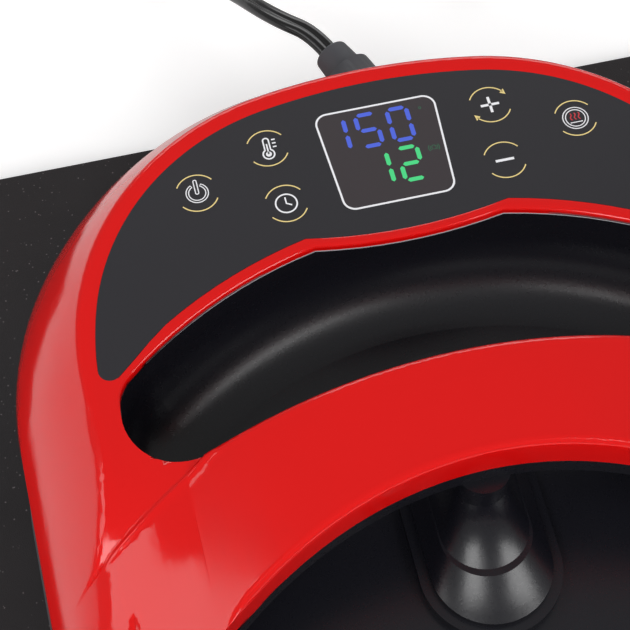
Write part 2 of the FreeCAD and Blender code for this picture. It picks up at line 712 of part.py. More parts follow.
def build_shell():
    """Red ring-shaped upper shell with the handle band across it."""
    low, high = SHELL_BOTTOM - 1, HANDLE_TOP + 5
    block = shell_loft(0)
    top_edges = [e for e in block.Edges if e.BoundBox.ZMin > SHELL_TOP - 0.01]
    block = block.makeFillet(SHOULDER_FILLET, top_edges)
    handle = band(0, HANDLE_ROOT).common(arch(0))
    crest = [e for e in handle.Edges if e.BoundBox.ZMax > HANDLE_TOP - 1 and e.BoundBox.XLength > 50]
    handle = handle.makeFillet(HANDLE_FILLET, crest)
    handle_core = band(SHELL_WALL, HANDLE_ROOT - SHELL_WALL).common(arch(SHELL_WALL))
    above = box(-200, 200, -200, 200, SHELL_TOP - HANDLE_ROOT_DEPTH, high)
    solid = block.fuse(handle.common(above))
    cavity = shell_loft(SHELL_WALL).fuse(handle_core.common(above))
    cavity = cavity.fuse(body_prism(-SHELL_WALL, low, SHELL_BOTTOM + 1))
    skin = solid.cut(cavity)
    around = opening(SHELL_WALL, low, high).cut(opening(0, low, high))
    flanks = band(0, HANDLE_HALF_SPAN).cut(band(SHELL_WALL, HANDLE_HALF_SPAN - SHELL_WALL))
    shell = skin.fuse(hanging(around, solid, RIM_DEPTH)).fuse(hanging(flanks, solid, HANDLE_DEPTH))
    shell = shell.cut(opening(0, low, high)).cut(crescent(low, high))
    shell = shell.cut(band(0, UNDERSIDE_HALF_SPAN).common(arch(HANDLE_DEPTH)))
    bosses = []
    for x, y in both_sides(SHELL_BOSSES):
        boss = cylinder(BOSS_DIAMETER, high - DECK_TOP, x, y, DECK_TOP)
        below = cylinder(BOSS_DIAMETER, SHELL_BOTTOM - DECK_TOP, x, y, DECK_TOP)
        bosses.append(boss.common(block).fuse(below))
    for x, y in both_sides(CONTROL_POSTS):
        bosses.append(cylinder(POST_DIAMETER, SEAT - 1 - CONTROL_TOP, x, y, CONTROL_TOP))
    outlet = boot_point(0)
    root = outlet - boot_axis() * OUTLET_DEPTH
    collar = Part.makeCylinder(OUTLET_DIAMETER / 2, OUTLET_DEPTH, root, boot_axis())
    shell = shell.multiFuse(bosses + [collar])
    shell = shell.cut(panel(0, SEAT, high))
    cuts = [cylinder(SCREW_DIAMETER + THREAD_CLEARANCE, SHELL_SCREW_LENGTH + 2, x, y, DECK_TOP - 1)
            for x, y in both_sides(SHELL_BOSSES)]
    drill, depth = BOARD_SCREW_DIAMETER + THREAD_CLEARANCE, CONTROL_SCREW_LENGTH + 2
    cuts += [cylinder(drill, depth, x, y, CONTROL_TOP - 1) for x, y in both_sides(CONTROL_POSTS)]
    cuts += [cylinder(KEY_DIAMETER + 2 * KEY_SLACK, high - CONTROL_TOP, x, KEY_ROW + y, CONTROL_TOP)
             for x, y in KEYS.values()]
    cuts.append(window(-WINDOW_LEDGE, CONTROL_TOP, high))
    through = 2 * OUTLET_DEPTH
    cuts.append(Part.makeCylinder(OUTLET_DIAMETER / 2, through, outlet, boot_axis()))
    neck = BOOT_NECK_DIAMETER / 2 + FIT / 3
    cuts.append(Part.makeCylinder(neck, 2 * through, boot_point(-through), boot_axis()))
    bore = boot_point(-SHELL_WALL - through)
    cuts.append(Part.makeCylinder(OUTLET_DIAMETER / 2 - OUTLET_WALL, through, bore, boot_axis()))
    shell = shell.cut(cuts)
    save("upper_shell", *shell.Solids)
    print("upper shell solids", len(shell.Solids))


def build_handle_underside():
    """Black closing strip under the handle, between its two rims."""
    strip = band(0, UNDERSIDE_HALF_SPAN).common(arch(HANDLE_DEPTH))
    strip = strip.cut(arch(HANDLE_DEPTH + UNDERSIDE_DEPTH))
    save("handle_underside", strip)


def build_panel():
    """Printed overlay, display lens, display, control board and keys."""
    overlay = panel(-FIT / 2, SEAT, SHELL_TOP).cut(window(0, SEAT - 1, SHELL_TOP + 1))
    save("panel_overlay", overlay)
    lens = window(-FIT / 2, SEAT, SHELL_TOP)
    lens = lens.fuse(window(-WINDOW_LEDGE - FIT / 2, SHELL_TOP - LENS_THICKNESS, SEAT))
    save("display_window", lens.removeSplitter())
    y0, y1 = WINDOW_FRONT + MODULE_MARGIN, WINDOW_BACK - MODULE_MARGIN
    half = MODULE_HALF_WIDTH
    module = box(-half, half, y0, y1, CONTROL_TOP, SHELL_TOP - LENS_THICKNESS - FIT)
    save("display_module", module)
    margin = CONTROL_MARGIN + SIDE_INSET
    area = body_prism(-margin, CONTROL_BOTTOM, CONTROL_TOP)
    area = area.common(box(-CONTROL_HALF_WIDTH, CONTROL_HALF_WIDTH, WINDOW_FRONT - MODULE_MARGIN, BODY_BACK,
                           CONTROL_BOTTOM, CONTROL_TOP))
    holes = [cylinder(SCREW_DIAMETER, BOARD_THICKNESS + 2, x, y, CONTROL_BOTTOM - 1)
             for x, y in both_sides(CONTROL_POSTS)]
    save("control_board", area.cut(Part.makeCompound(holes)))
    housings = []
    for name, (x, row) in KEYS.items():
        y = KEY_ROW + row
        cap = cylinder(KEY_DIAMETER, KEY_TOP - FLANGE_TOP, x, y, FLANGE_TOP)
        flange = cylinder(KEY_FLANGE_DIAMETER, KEY_FLANGE, x, y, FLANGE_TOP - KEY_FLANGE)
        stem = cylinder(KEY_STEM_DIAMETER, KEY_STEM, x, y, KEY_BOTTOM)
        save(name + "_key", cap.fuse(flange).fuse(stem).removeSplitter())
        wide = SWITCH_BUTTON_DIAMETER + SWITCH_BUTTON_RISE
        low = SWITCH_TOP - SWITCH_BUTTON_RISE
        foot = cylinder(wide, SWITCH_FOOT, x, y, low - SWITCH_FOOT)
        button = cylinder(SWITCH_BUTTON_DIAMETER, KEY_BOTTOM - low, x, y, low)
        save(name + "_switch_button", button.fuse(foot).removeSplitter())
        half = SWITCH_SIZE / 2
        case = box(x - half, x + half, y - half, y + half, CONTROL_TOP, SWITCH_TOP)
        floor = CONTROL_TOP + SWITCH_FLOOR
        well = cylinder(wide + 2 * KEY_SLACK, SWITCH_TOP - SWITCH_LID - floor, x, y, floor)
        throat = cylinder(SWITCH_BUTTON_DIAMETER + 2 * KEY_SLACK, SWITCH_HEIGHT, x, y, floor)
        housings.append(case.cut(well.fuse(throat)))
    save("switch_housings", *housings)
    x, y = BUZZER_PLACE
    save("buzzer", tube(BUZZER_DIAMETER, BUZZER_HOLE, BUZZER_HEIGHT, x, y, CONTROL_BOTTOM - BUZZER_HEIGHT))
    save("control_screws", *[
        screw(x, y, CONTROL_BOTTOM, CONTROL_SCREW_LENGTH, UP, BOARD_SCREW_DIAMETER)
        for x, y in both_sides(CONTROL_POSTS)
    ])


def build_power():
    """Power board on the deck posts with the parts it carries."""
    z = DECK_TOP + POWER_POST
    x0, x1 = -POWER_WIDTH / 2, POWER_WIDTH / 2
    y0, y1 = POWER_Y - POWER_DEPTH / 2, POWER_Y + POWER_DEPTH / 2
    board = box(x0, x1, y0, y1, z, z + BOARD_THICKNESS)
    drills = [cylinder(SCREW_DIAMETER, BOARD_THICKNESS + 2, x, y, z - 1) for x, y in power_screw_places()]
    save("power_board", board.cut(Part.makeCompound(drills)))
    top = z + BOARD_THICKNESS
    x0, x1 = RELAY_X - RELAY_WIDTH / 2, RELAY_X + RELAY_WIDTH / 2
    deep = RELAY_DEPTH / 2
    save("relay", box(x0, x1, POWER_Y - deep, POWER_Y + deep, top, top + RELAY_HEIGHT))
    half, wound = CORE_WIDTH / 2, BOBBIN_WIDTH / 2
    front, back = POWER_Y + CORE_FRONT, POWER_Y + CORE_BACK
    core = box(CORE_X - half, CORE_X + half, front, back, top + CORE_LIFT, top + CORE_LIFT + CORE_HEIGHT)
    bobbin = box(CORE_X - wound, CORE_X + wound, front - BOBBIN_PROUD, back + BOBBIN_PROUD,
                 top, top + BOBBIN_HEIGHT).cut(core)
    save("transformer_core", core)
    save("transformer_winding", bobbin)
    half = BLOCK_WAYS * BLOCK_PITCH / 2
    rear = y1 - BLOCK_MARGIN
    block = box(-half, half, rear - BLOCK_DEPTH, rear, top, top + BLOCK_HEIGHT)
    ways = [cylinder(BLOCK_PITCH / 2, BLOCK_HEIGHT, (i + 0.5) * BLOCK_PITCH - half, rear - BLOCK_DEPTH / 2,
                     top + BLOCK_HEIGHT * 0.7) for i in range(BLOCK_WAYS)]
    save("terminal_block", block.cut(Part.makeCompound(ways)))
    screws = []
    for x, y in power_screw_places():
        head = cylinder(POWER_SCREW_HEAD, POWER_SCREW_HEAD_HEIGHT, x, y, top)
        shank = cylinder(POWER_SCREW_DIAMETER, POWER_SCREW_LENGTH, x, y, top - POWER_SCREW_LENGTH)
        screws.append(head.fuse(shank))
    save("power_board_screws", *screws)


def build_screws():
    """Screws that go up through the deck, and those under the neck."""
    under = DECK_BOTTOM
    bosses, pillars = both_sides(SHELL_BOSSES), both_sides(PLATE_PILLARS)
    save("shell_screws", *[screw(x, y, under, SHELL_SCREW_LENGTH) for x, y in bosses])
    save("neck_screws", *[screw(0, y, under, NECK_SCREW_LENGTH) for y in NECK_SCREWS])
    save("plate_screws", *[screw(x, y, DECK_TOP, PLATE_SCREW_LENGTH, -UP) for x, y in pillars])


def rounded_path(points):
    """Straight runs joined by tangent arcs, each as large as its runs allow."""
    corners = [V(p) for p in points]
    edges, radii = [], []
    here = corners[0]
    for before, corner, after in zip(corners, corners[1:], corners[2:]):
        back = before - corner
        ahead = after - corner
        trim = 0.45 * min(back.Length, ahead.Length)
        half_turn = (math.pi - back.getAngle(ahead)) / 2
        radius = trim / math.tan(half_turn)
        radii.append(radius)
        back.normalize()
        ahead.normalize()
        first = corner + back * trim
        last = corner + ahead * trim
        inward = (back + ahead).normalize()
        centre = corner + inward * (radius / math.cos(half_turn))
        middle = centre - inward * radius
        edges.append(Part.LineSegment(here, first).toShape())
        edges.append(arc(first, middle, last))
        here = last
    edges.append(Part.LineSegment(here, corners[-1]).toShape())
    return Part.Wire(edges), radii


def coil_place(turn):
    """Centre line of the coil: in, up in half a turn, and out again."""
    climb = COIL_TURNS_IN
    if turn <= climb:
        radius, rise = COIL_OUTER - COIL_STEP * turn, 0.0
    elif turn <= climb + 0.5:
        share = (turn - climb) / 0.5
        radius = COIL_INNER - COIL_STEP / (2 * math.pi) * math.sin(math.pi * share)
        rise = (1 - math.cos(math.pi * share)) / 2
    else:
        radius, rise = COIL_INNER + COIL_STEP * (turn - climb - 0.5), 1.0
    angle = math.pi - 2 * math.pi * turn
    x = COIL_CENTRE[0] + radius * math.cos(angle)
    y = COIL_CENTRE[1] + radius * math.sin(angle)
    return V(x, y, COIL_BOTTOM + COIL_LIFT * rise)


def coil_heading(turn, last):
    step = 1e-4
    low, high = max(turn - step, 0), min(turn + step, last)
    return (coil_place(high) - coil_place(low)).normalize()


def biarc(p0, t0, p1, t1):
    """Two tangent arcs from one point and heading to the next."""
    chord = p1 - p0
    total = t0 + t1
    a = 2 * (1 - t0.dot(t1))
    b = 2 * chord.dot(total)
    c = -chord.dot(chord)
    reach = -c / b if abs(a) < 1e-9 else (-b + math.sqrt(b * b - 4 * a * c)) / (2 * a)
    joint = (p0 + t0 * reach + p1 - t1 * reach) * 0.5
    return [tangent_arc(p0, t0, joint), tangent_arc(p1, t1 * -1, joint)]


def tangent_arc(start, heading, end):
    chord = end - start
    side = heading.cross(chord).cross(heading)
    if side.Length < 1e-7:
        return Part.LineSegment(start, end).toShape()
    side.normalize()
    radius = chord.dot(chord) / (2 * chord.dot(side))
    centre = start + side * radius
    outward = ((start - centre) + (end - centre)).normalize()
    return arc(start, centre + outward * radius, end)


def least_gap(points, skip):
    """Least distance between stretches of a line that are not neighbours."""
    pairs = ((p, q) for i, p in enumerate(points) for q in points[i + skip:])
    return min((p - q).Length for p, q in pairs)


def round_tube(wire, diameter):
    first = wire.Edges[0]
    start = first.valueAt(first.FirstParameter)
    ring = Part.Wire(Part.Circle(start, first.tangentAt(first.FirstParameter), diameter / 2).toShape())
    return wire.makePipeShell([ring], True, False)


def check_tube(name, solid, wire, diameter):
    share = solid.Volume / (wire.Length * math.pi * diameter ** 2 / 4)
    print("%s: length %.1f, volume share %.4f" % (name, wire.Length, share))


def plug_axis():
    turn = math.radians(PLUG_TURN)
    return V(math.sin(turn), -math.cos(turn), 0)


def plug_entry():
    return V(PLUG_ENTRY[0], PLUG_ENTRY[1], PLUG_HEIGHT / 2 + PLUG_LIFT)


def cord_stretch(name, points):
    """Tube along straight runs and tangent arcs, with its radii printed."""
    path, radii = rounded_path(points)
    print(name, "radii", [round(r) for r in radii])
    solid = round_tube(path, CORD_WIDTH)
    check_tube(name, solid, path, CORD_WIDTH)
    save(name, solid)


def build_cord():
    """Mains lead down to the table, its coil, and the plug on its end."""
    last = 2 * COIL_TURNS_IN + 0.5
    count = round(4 * last)
    stops = [i * last / count for i in range(count + 1)]
    into, out = coil_heading(0, last), coil_heading(last, last)
    first_end = coil_place(0) - into * COIL_LEAD_IN
    last_end = coil_place(last) + out * CORD_WIDTH
    edges = [Part.LineSegment(first_end, coil_place(0)).toShape()]
    for a, b in zip(stops, stops[1:]):
        edges += biarc(coil_place(a), coil_heading(a, last), coil_place(b), coil_heading(b, last))
    edges.append(Part.LineSegment(coil_place(last), last_end).toShape())
    coil = Part.Wire(Part.__sortEdges__(edges))
    coil_tube = round_tube(coil, CORD_WIDTH)
    check_tube("cord_coil", coil_tube, coil, CORD_WIDTH)
    fine = [coil_place(i * last / 400) for i in range(401)]
    print("coil gap to itself %.2f" % (least_gap(fine, 40) - CORD_WIDTH))
    save("cord_coil", coil_tube)
    start = [boot_point(BOOT_LENGTH), boot_point(BOOT_LENGTH + CORD_FIRST_RUN)]
    cord_stretch("cord_run", start + CORD_ROUTE + [first_end - into * CORD_LAST_RUN, first_end])
    entry = plug_entry()
    finish = [entry - plug_axis() * END_FIRST_RUN, entry]
    cord_stretch("cord_end", [last_end, last_end + out * END_FIRST_RUN] + END_ROUTE + finish)
    build_plug()


def build_plug():
    """Moulded two-blade plug: a round neck that widens into a flat grip."""
    neck = Part.makeCone(CORD_WIDTH / 2 + 1, PLUG_HEIGHT / 2 - 1, PLUG_NECK, V(0, 0, 0), V(0, -1, 0))
    w, h = PLUG_WIDTH / 2, PLUG_HEIGHT / 2
    grip = box(-w, w, -PLUG_LENGTH, 2 - PLUG_NECK, -h, h)
    long_edges = [e for e in grip.Edges if e.BoundBox.YLength > 1]
    grip = grip.makeFillet(PLUG_ROUND, long_edges)
    neck_end = [e for e in grip.Edges if e.BoundBox.YMin > 1 - PLUG_NECK]
    grip = grip.makeFillet(PLUG_NECK_ROUND, neck_end)
    solids = [neck.fuse(grip)]
    for x in (-BLADE_PITCH / 2, BLADE_PITCH / 2):
        solids.append(box(x - BLADE_THICKNESS / 2, x + BLADE_THICKNESS / 2, -PLUG_LENGTH - BLADE_LENGTH,
                          -PLUG_LENGTH, -BLADE_WIDTH / 2, BLADE_WIDTH / 2))
    for solid in solids:
        solid.rotate(V(0, 0, 0), UP, PLUG_TURN)
        solid.translate(plug_entry())
    save("mains_plug", solids[0])
    save("plug_blades", *solids[1:])


def build_boot():
    """Rubber sleeve held in the outlet, the lead inside it and its clamp."""
    axis = boot_axis()
    face = boot_point(FIT / 2)
    sleeve = Part.makeCone(BOOT_DIAMETER / 2 + BOOT_TAPER / 2, BOOT_DIAMETER / 2 - BOOT_TAPER / 2,
                           BOOT_LENGTH - FIT / 2, face, axis)
    rim = [e for e in sleeve.Edges if (e.CenterOfMass - boot_point(BOOT_LENGTH)).Length < 0.5]
    sleeve = sleeve.makeFillet(BOOT_RIM, rim)
    wall_back = boot_point(-SHELL_WALL - FIT)
    waist = Part.makeCylinder(BOOT_NECK_DIAMETER / 2, SHELL_WALL + 2 * FIT, wall_back, axis)
    flange = Part.makeCylinder(BOOT_DIAMETER / 2, BOOT_FLANGE, wall_back - axis * BOOT_FLANGE, axis)
    through = 2 * (BOOT_LENGTH + BOOT_INSIDE)
    bore = Part.makeCylinder(CORD_WIDTH / 2, through, boot_point(-BOOT_INSIDE), axis)
    save("cord_boot", sleeve.multiFuse([waist, flange]).cut(bore))
    tail = boot_point(-BOOT_INSIDE)
    inner = Part.makeCylinder(CORD_WIDTH / 2, BOOT_LENGTH + BOOT_INSIDE, tail, axis)
    save("cord_inner", inner)
    block_y = POWER_Y + POWER_DEPTH / 2 - BLOCK_MARGIN
    block_z = DECK_TOP + POWER_POST + BOARD_THICKNESS + BLOCK_HEIGHT / 2
    cores = []
    for side in (1, -1):
        x = side * BLOCK_PITCH / 2
        first = tail + axis.cross(UP) * (side * CORD_WIDTH / 4)
        points = [
            first,
            first - axis * 7,
            (x, block_y + 9, (block_z + tail.z) / 2),
            (x, block_y + 7, block_z),
            (x, block_y, block_z),
        ]
        path, _ = rounded_path(points)
        cores.append(round_tube(path, LEAD_DIAMETER))
    save("mains_cores", *cores)


def build_leads(terminals):
    """Heater leads up round the power board, and the ribbon between the boards."""
    top = DECK_TOP + POWER_POST + BOARD_THICKNESS
    front = POWER_Y - POWER_DEPTH / 2 - 4.5
    rear = POWER_Y + POWER_DEPTH / 2 - BLOCK_MARGIN - BLOCK_DEPTH
    leads = []
    for end in terminals:
        side = 1 if end.x > 0 else -1
        points = [
            (end.x, end.y - TERMINAL_DIAMETER / 2 - 0.2, DECK_TOP + 2),
            (end.x, front, DECK_TOP + 2),
            (end.x, front, top + 7),
            (side * 5, front + 6, top + 6),
            (side * 5, rear - 0.2, top + 5),
        ]
        path, _ = rounded_path(points)
        leads.append(round_tube(path, LEAD_DIAMETER))
    save("heater_leads", *leads)
    half, thin = RIBBON_WIDTH / 2, RIBBON_THICKNESS / 2
    x, y = RIBBON_X, RIBBON_Y
    strip = box(x - half, x + half, y - thin, y + thin, top, CONTROL_BOTTOM)
    half, deep = RIBBON_PLUG_WIDTH / 2, RIBBON_PLUG_DEPTH / 2
    plugs = [box(x - half, x + half, y - deep, y + deep, z, z + RIBBON_PLUG_HEIGHT)
             for z in (top, CONTROL_BOTTOM - RIBBON_PLUG_HEIGHT)]
    save("ribbon_cable", strip.multiFuse(plugs).removeSplitter())


build_pad()
ends = build_plate()
build_insulation(ends)
build_lower_housing(ends)
build_tub()
build_neck()
build_shell()
build_handle_underside()
build_panel()
build_power()
build_screws()
build_boot()
build_leads(ends)
build_cord()
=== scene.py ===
import math

import bmesh
import bpy
from mathutils import Matrix, Vector
from mathutils.bvhtree import BVHTree
from mathutils.kdtree import KDTree


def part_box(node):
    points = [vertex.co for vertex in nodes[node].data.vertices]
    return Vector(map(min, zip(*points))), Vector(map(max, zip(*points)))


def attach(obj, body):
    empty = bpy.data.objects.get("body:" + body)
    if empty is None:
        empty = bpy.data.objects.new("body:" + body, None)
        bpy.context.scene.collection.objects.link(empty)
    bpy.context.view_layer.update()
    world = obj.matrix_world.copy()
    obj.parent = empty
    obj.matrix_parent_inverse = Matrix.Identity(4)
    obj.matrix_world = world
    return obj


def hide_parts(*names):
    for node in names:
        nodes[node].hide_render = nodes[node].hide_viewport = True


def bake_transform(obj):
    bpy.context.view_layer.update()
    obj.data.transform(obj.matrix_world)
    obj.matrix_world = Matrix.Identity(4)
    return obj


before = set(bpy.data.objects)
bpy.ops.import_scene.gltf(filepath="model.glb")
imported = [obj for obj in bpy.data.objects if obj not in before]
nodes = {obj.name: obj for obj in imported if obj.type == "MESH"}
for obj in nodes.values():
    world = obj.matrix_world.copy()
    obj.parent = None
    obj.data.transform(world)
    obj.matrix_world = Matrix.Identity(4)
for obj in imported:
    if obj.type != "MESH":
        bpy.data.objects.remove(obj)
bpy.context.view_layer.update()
bpy.context.scene.view_settings.view_transform = "Standard"

# Camera. It stands where the photographer stood: in front of the press, a
# little to its left, looking steeply down on the panel through a long lens.
EYE = Vector((-0.10934, -0.26555, 0.64501))
GAZE = Vector((0.11118, 0.47032, -0.87546))
LENS = 108.57

camera = bpy.data.objects.new("camera", bpy.data.cameras.new("camera"))
camera.data.lens = LENS
camera.data.sensor_width = 36
camera.location = EYE
camera.rotation_mode = "QUATERNION"
camera.rotation_quaternion = GAZE.to_track_quat("-Z", "Y")
camera.data.clip_start = 0.01
bpy.context.scene.collection.objects.link(camera)
bpy.context.scene.camera = camera


# Mains lead. A flat two-core lead in smooth black PVC: it leaves the boot lying
# flat, drops to the table, and is wound on its edge into a coil of two layers.
# One length of extruded lead, with a shallow groove between its two cores.
class Term:
    """A socket in a material, on which sums are written as Python writes them."""

    def __init__(self, tree, socket=None):
        self.tree = tree
        self.socket = socket

    def node(self, kind, settings=(), inputs=(), output=0):
        made = self.tree.nodes.new(kind)
        for name, value in dict(settings).items():
            if name == "stops":
                ramp = made.color_ramp
                for place, colour in value[2:]:
                    ramp.elements.new(place)
                for element, (place, colour) in zip(ramp.elements, sorted(value)):
                    element.position = place
                    element.color = colour
            else:
                setattr(made, name, value)
        for key, value in dict(inputs).items():
            if isinstance(value, Term):
                self.tree.links.new(value.socket, made.inputs[key])
            else:
                made.inputs[key].default_value = value
        return Term(self.tree, made.outputs[output])

    def sum(self, operation, *values):
        return self.node("ShaderNodeMath", {"operation": operation}, enumerate(values))

    def __add__(self, other):
        return self.sum("ADD", self, other)

    def __radd__(self, other):
        return self.sum("ADD", other, self)

    def __sub__(self, other):
        return self.sum("SUBTRACT", self, other)

    def __rsub__(self, other):
        return self.sum("SUBTRACT", other, self)

    def __mul__(self, other):
        return self.sum("MULTIPLY", self, other)

    def __rmul__(self, other):
        return self.sum("MULTIPLY", other, self)

    def __gt__(self, other):
        return self.sum("GREATER_THAN", self, other)

    def __lt__(self, other):
        return self.sum("LESS_THAN", self, other)

    def place(self):
        return self.node("ShaderNodeTexCoord", output="Object")

    def noise(self, scale, detail=2.0, roughness=0.5):
        wanted = {"Vector": self.place(), "Scale": scale, "Detail": detail, "Roughness": roughness}
        return self.node("ShaderNodeTexNoise", inputs=wanted, output=0)

    def mixed(self, factor, first, second):
        wanted = {0: factor, 6: first, 7: second}
        return self.node("ShaderNodeMix", {"data_type": "RGBA"}, wanted, output=2)

    def bump(self, height, strength, distance):
        wanted = {"Height": height, "Strength": strength, "Distance": distance}
        return self.node("ShaderNodeBump", inputs=wanted)


def colour(red, green, blue):
    """A colour given as 8-bit screen values, as the linear numbers that a shader takes."""
    steps = (red / 255, green / 255, blue / 255)
    return tuple(s / 12.92 if s <= 0.04045 else ((s + 0.055) / 1.055) ** 2.4 for s in steps) + (1.0,)


def shade(rgba, factor):
    return tuple(c * factor for c in rgba[:3]) + (1.0,)


def finish(name, rgba, rough, spread=0.06, grain=900.0, height=0.00002, mottle=0.06, **fixed):
    """Moulded, cast or drawn stuff: even colour, a little mottling, and a fine grain."""
    material = bpy.data.materials.new(name)
    material.use_nodes = True
    shader = material.node_tree.nodes["Principled BSDF"]
    here = Term(material.node_tree)
    broad = here.noise(38.0)
    fine = here.noise(grain, detail=3.0)
    tint = here.mixed(broad, shade(rgba, 1 - mottle), shade(rgba, 1 + mottle))
    links = {
        "Base Color": tint,
        "Roughness": rough - spread / 2 + fine * spread,
        "Normal": here.bump(fine, 1.0, height),
    }
    for key, value in fixed.items():
        shader.inputs[key.replace("_", " ")].default_value = value
    for key, term in links.items():
        material.node_tree.links.new(term.socket, shader.inputs[key])
    return material


def dress(name, material):
    """Gives a CAD node a finish."""
    data = nodes[name].data
    data.materials.clear()
    data.materials.append(material)


def mm(points):
    return [Vector(p) / 1000 for p in points]


BOOT_MOUTH = (-4.62, 152.20, 68.0)
BOOT_AXIS = Vector((-0.3746, 0.9272, 0.0))
FIRST_RUN = 11.5
RUN = [
    (-18.2, 173.8, 64.6),
    (-25.2, 188.0, 57.5),
    (-30.0, 204.5, 46.5),
    (-36.0, 221.5, 34.0),
    (-43.5, 239.0, 22.0),
    (-51.0, 257.5, 12.8),
    (-57.2, 277.0, 7.0),
    (-60.0, 296.5, 4.4),
]
LAST_RUN = 12.0
COIL_CENTRE = (-6.0, 342.0)
COIL_OUTER = 54.0
COIL_INNER = 30.0
COIL_STEP = 8.0
COIL_BOTTOM = 3.8
COIL_LIFT = 8.0
TURNS_IN = 3.0
LAST_TURN = 6.5
POINTS_PER_TURN = 16
END = [(50.6, 310.8, 10.9), (54.9, 299.5, 8.9)]
END_RUN = 12.0
PLUG_ENTRY = Vector((62.9, 277.1, 7.6))
PLUG_AXIS = Vector((math.sin(math.radians(19.65)), -math.cos(math.radians(19.65)), 0.0))
LEAD_WIDTH = 7.4
LEAD_IN = 22.0
LOBE = 2.15
LOBE_PLACE = LEAD_WIDTH / 2 - LOBE
LOBE_STEPS = 16
LIES_FLAT = 5


def coil_place(turn):
    """Centre line of the coil: inwards, up a layer in half a turn, outwards again."""
    if turn <= TURNS_IN:
        radius, rise = COIL_OUTER - COIL_STEP * turn, 0.0
    elif turn <= TURNS_IN + 0.5:
        share = (turn - TURNS_IN) / 0.5
        radius = COIL_INNER - COIL_STEP / (2 * math.pi) * math.sin(math.pi * share)
        rise = (1 - math.cos(math.pi * share)) / 2
    else:
        radius, rise = COIL_INNER + COIL_STEP * (turn - TURNS_IN - 0.5), 1.0
    angle = math.pi - 2 * math.pi * turn
    flat = Vector((COIL_CENTRE[0], COIL_CENTRE[1], COIL_BOTTOM + COIL_LIFT * rise))
    return flat + Vector((math.cos(angle), math.sin(angle), 0)) * radius


def lead_route():
    """Points of the whole lead in millimetres, each with its twist from lying flat."""
    into = Vector((COIL_STEP, 2 * math.pi * COIL_OUTER, 0)).normalized()
    out = Vector((COIL_STEP, -2 * math.pi * COIL_OUTER, 0)).normalized()
    first = coil_place(0) - into * LEAD_IN
    last = coil_place(LAST_TURN) + out * LEAD_WIDTH
    mouth = Vector(BOOT_MOUTH)
    lay = [mouth, mouth + BOOT_AXIS * FIRST_RUN] + [Vector(p) for p in RUN]
    lay += [first - into * LAST_RUN, first]
    wound = [coil_place(i / POINTS_PER_TURN) for i in range(round(LAST_TURN * POINTS_PER_TURN) + 1)]
    tail = [last, last + out * END_RUN] + [Vector(p) for p in END]
    tail += [PLUG_ENTRY - PLUG_AXIS * END_RUN, PLUG_ENTRY]
    twists = [max(i - LIES_FLAT, 0) / (len(lay) - 1 - LIES_FLAT) for i in range(len(lay))]
    twists += [1.0] * len(wound)
    twists += [1 - i / (len(tail) - 1) for i in range(len(tail))]
    return lay + wound + tail, [t * math.pi / 2 for t in twists]


def spline_object(name, points, twists):
    curve = bpy.data.curves.new(name, "CURVE")
    curve.dimensions = "3D"
    curve.twist_mode = "Z_UP"
    spline = curve.splines.new("NURBS")
    spline.points.add(len(points) - 1)
    for place, point, twist in zip(spline.points, points, twists):
        place.co = (*point, 1.0)
        place.tilt = twist
    spline.order_u = 3
    spline.use_endpoint_u = True
    spline.resolution_u = 6
    made = bpy.data.objects.new(name, curve)
    bpy.context.scene.collection.objects.link(made)
    return made


def lead_section():
    """Two round cores side by side: the groove runs where their skins meet."""
    section = bpy.data.curves.new("lead_section", "CURVE")
    spline = section.splines.new("POLY")
    wrap = math.pi - math.acos(LOBE_PLACE / LOBE)
    turns = [wrap * (2 * i / LOBE_STEPS - 1) for i in range(LOBE_STEPS + 1)]
    outline = [(LOBE_PLACE + LOBE * math.cos(a), LOBE * math.sin(a)) for a in turns]
    outline += [(-across, -up) for across, up in outline[1:-1]]
    spline.points.add(len(outline) - 1)
    for point, (across, up) in zip(spline.points, outline):
        point.co = (across / 1000, up / 1000, 0, 1)
    spline.use_cyclic_u = True
    made = bpy.data.objects.new("lead_section", section)
    bpy.context.scene.collection.objects.link(made)
    return made


def mesh_object(name, data, material, smooth=True):
    made = bpy.data.objects.new(name, data)
    bpy.context.scene.collection.objects.link(made)
    data.materials.clear()
    data.materials.append(material)
    for face in data.polygons:
        face.use_smooth = smooth
    return made


pvc = finish("lead_pvc", colour(14, 13, 14), 0.2, grain=240.0, height=0.00006)
route, twists = lead_route()
guide = spline_object("lead_guide", mm(route), twists)
path = [v.co.copy() for v in bpy.data.meshes.new_from_object(guide).vertices]
guide.data.bevel_mode = "OBJECT"
guide.data.bevel_object = lead_section()
guide.data.use_fill_caps = True
shown = bpy.context.evaluated_depsgraph_get()
lead = mesh_object("mains_lead", bpy.data.meshes.new_from_object(guide.evaluated_get(shown)), pvc)
bpy.data.objects.remove(guide.data.bevel_object)
bpy.data.objects.remove(guide)
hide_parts("cord_run", "cord_coil", "cord_end")
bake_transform(lead)


# Boot. A short rubber sleeve, matte from its mould, gripped by the outlet in the
# red shell. It is a tapered tube with a rounded mouth, as the CAD has it.
rubber = finish("boot_rubber", colour(62, 63, 68), 0.62, grain=2600.0, height=0.00004, mottle=0.1)
dress("cord_boot", rubber)
dress("cord_inner", pvc)

# Plug. A two-blade plug moulded onto the lead's far end, with brass blades.
dress("mains_plug", finish("plug_pvc", colour(26, 26, 28), 0.42, grain=1800.0, height=0.00005))
brass = finish("blade_brass", colour(196, 164, 96), 0.28, grain=500.0, Metallic=1.0)
dress("plug_blades", brass)


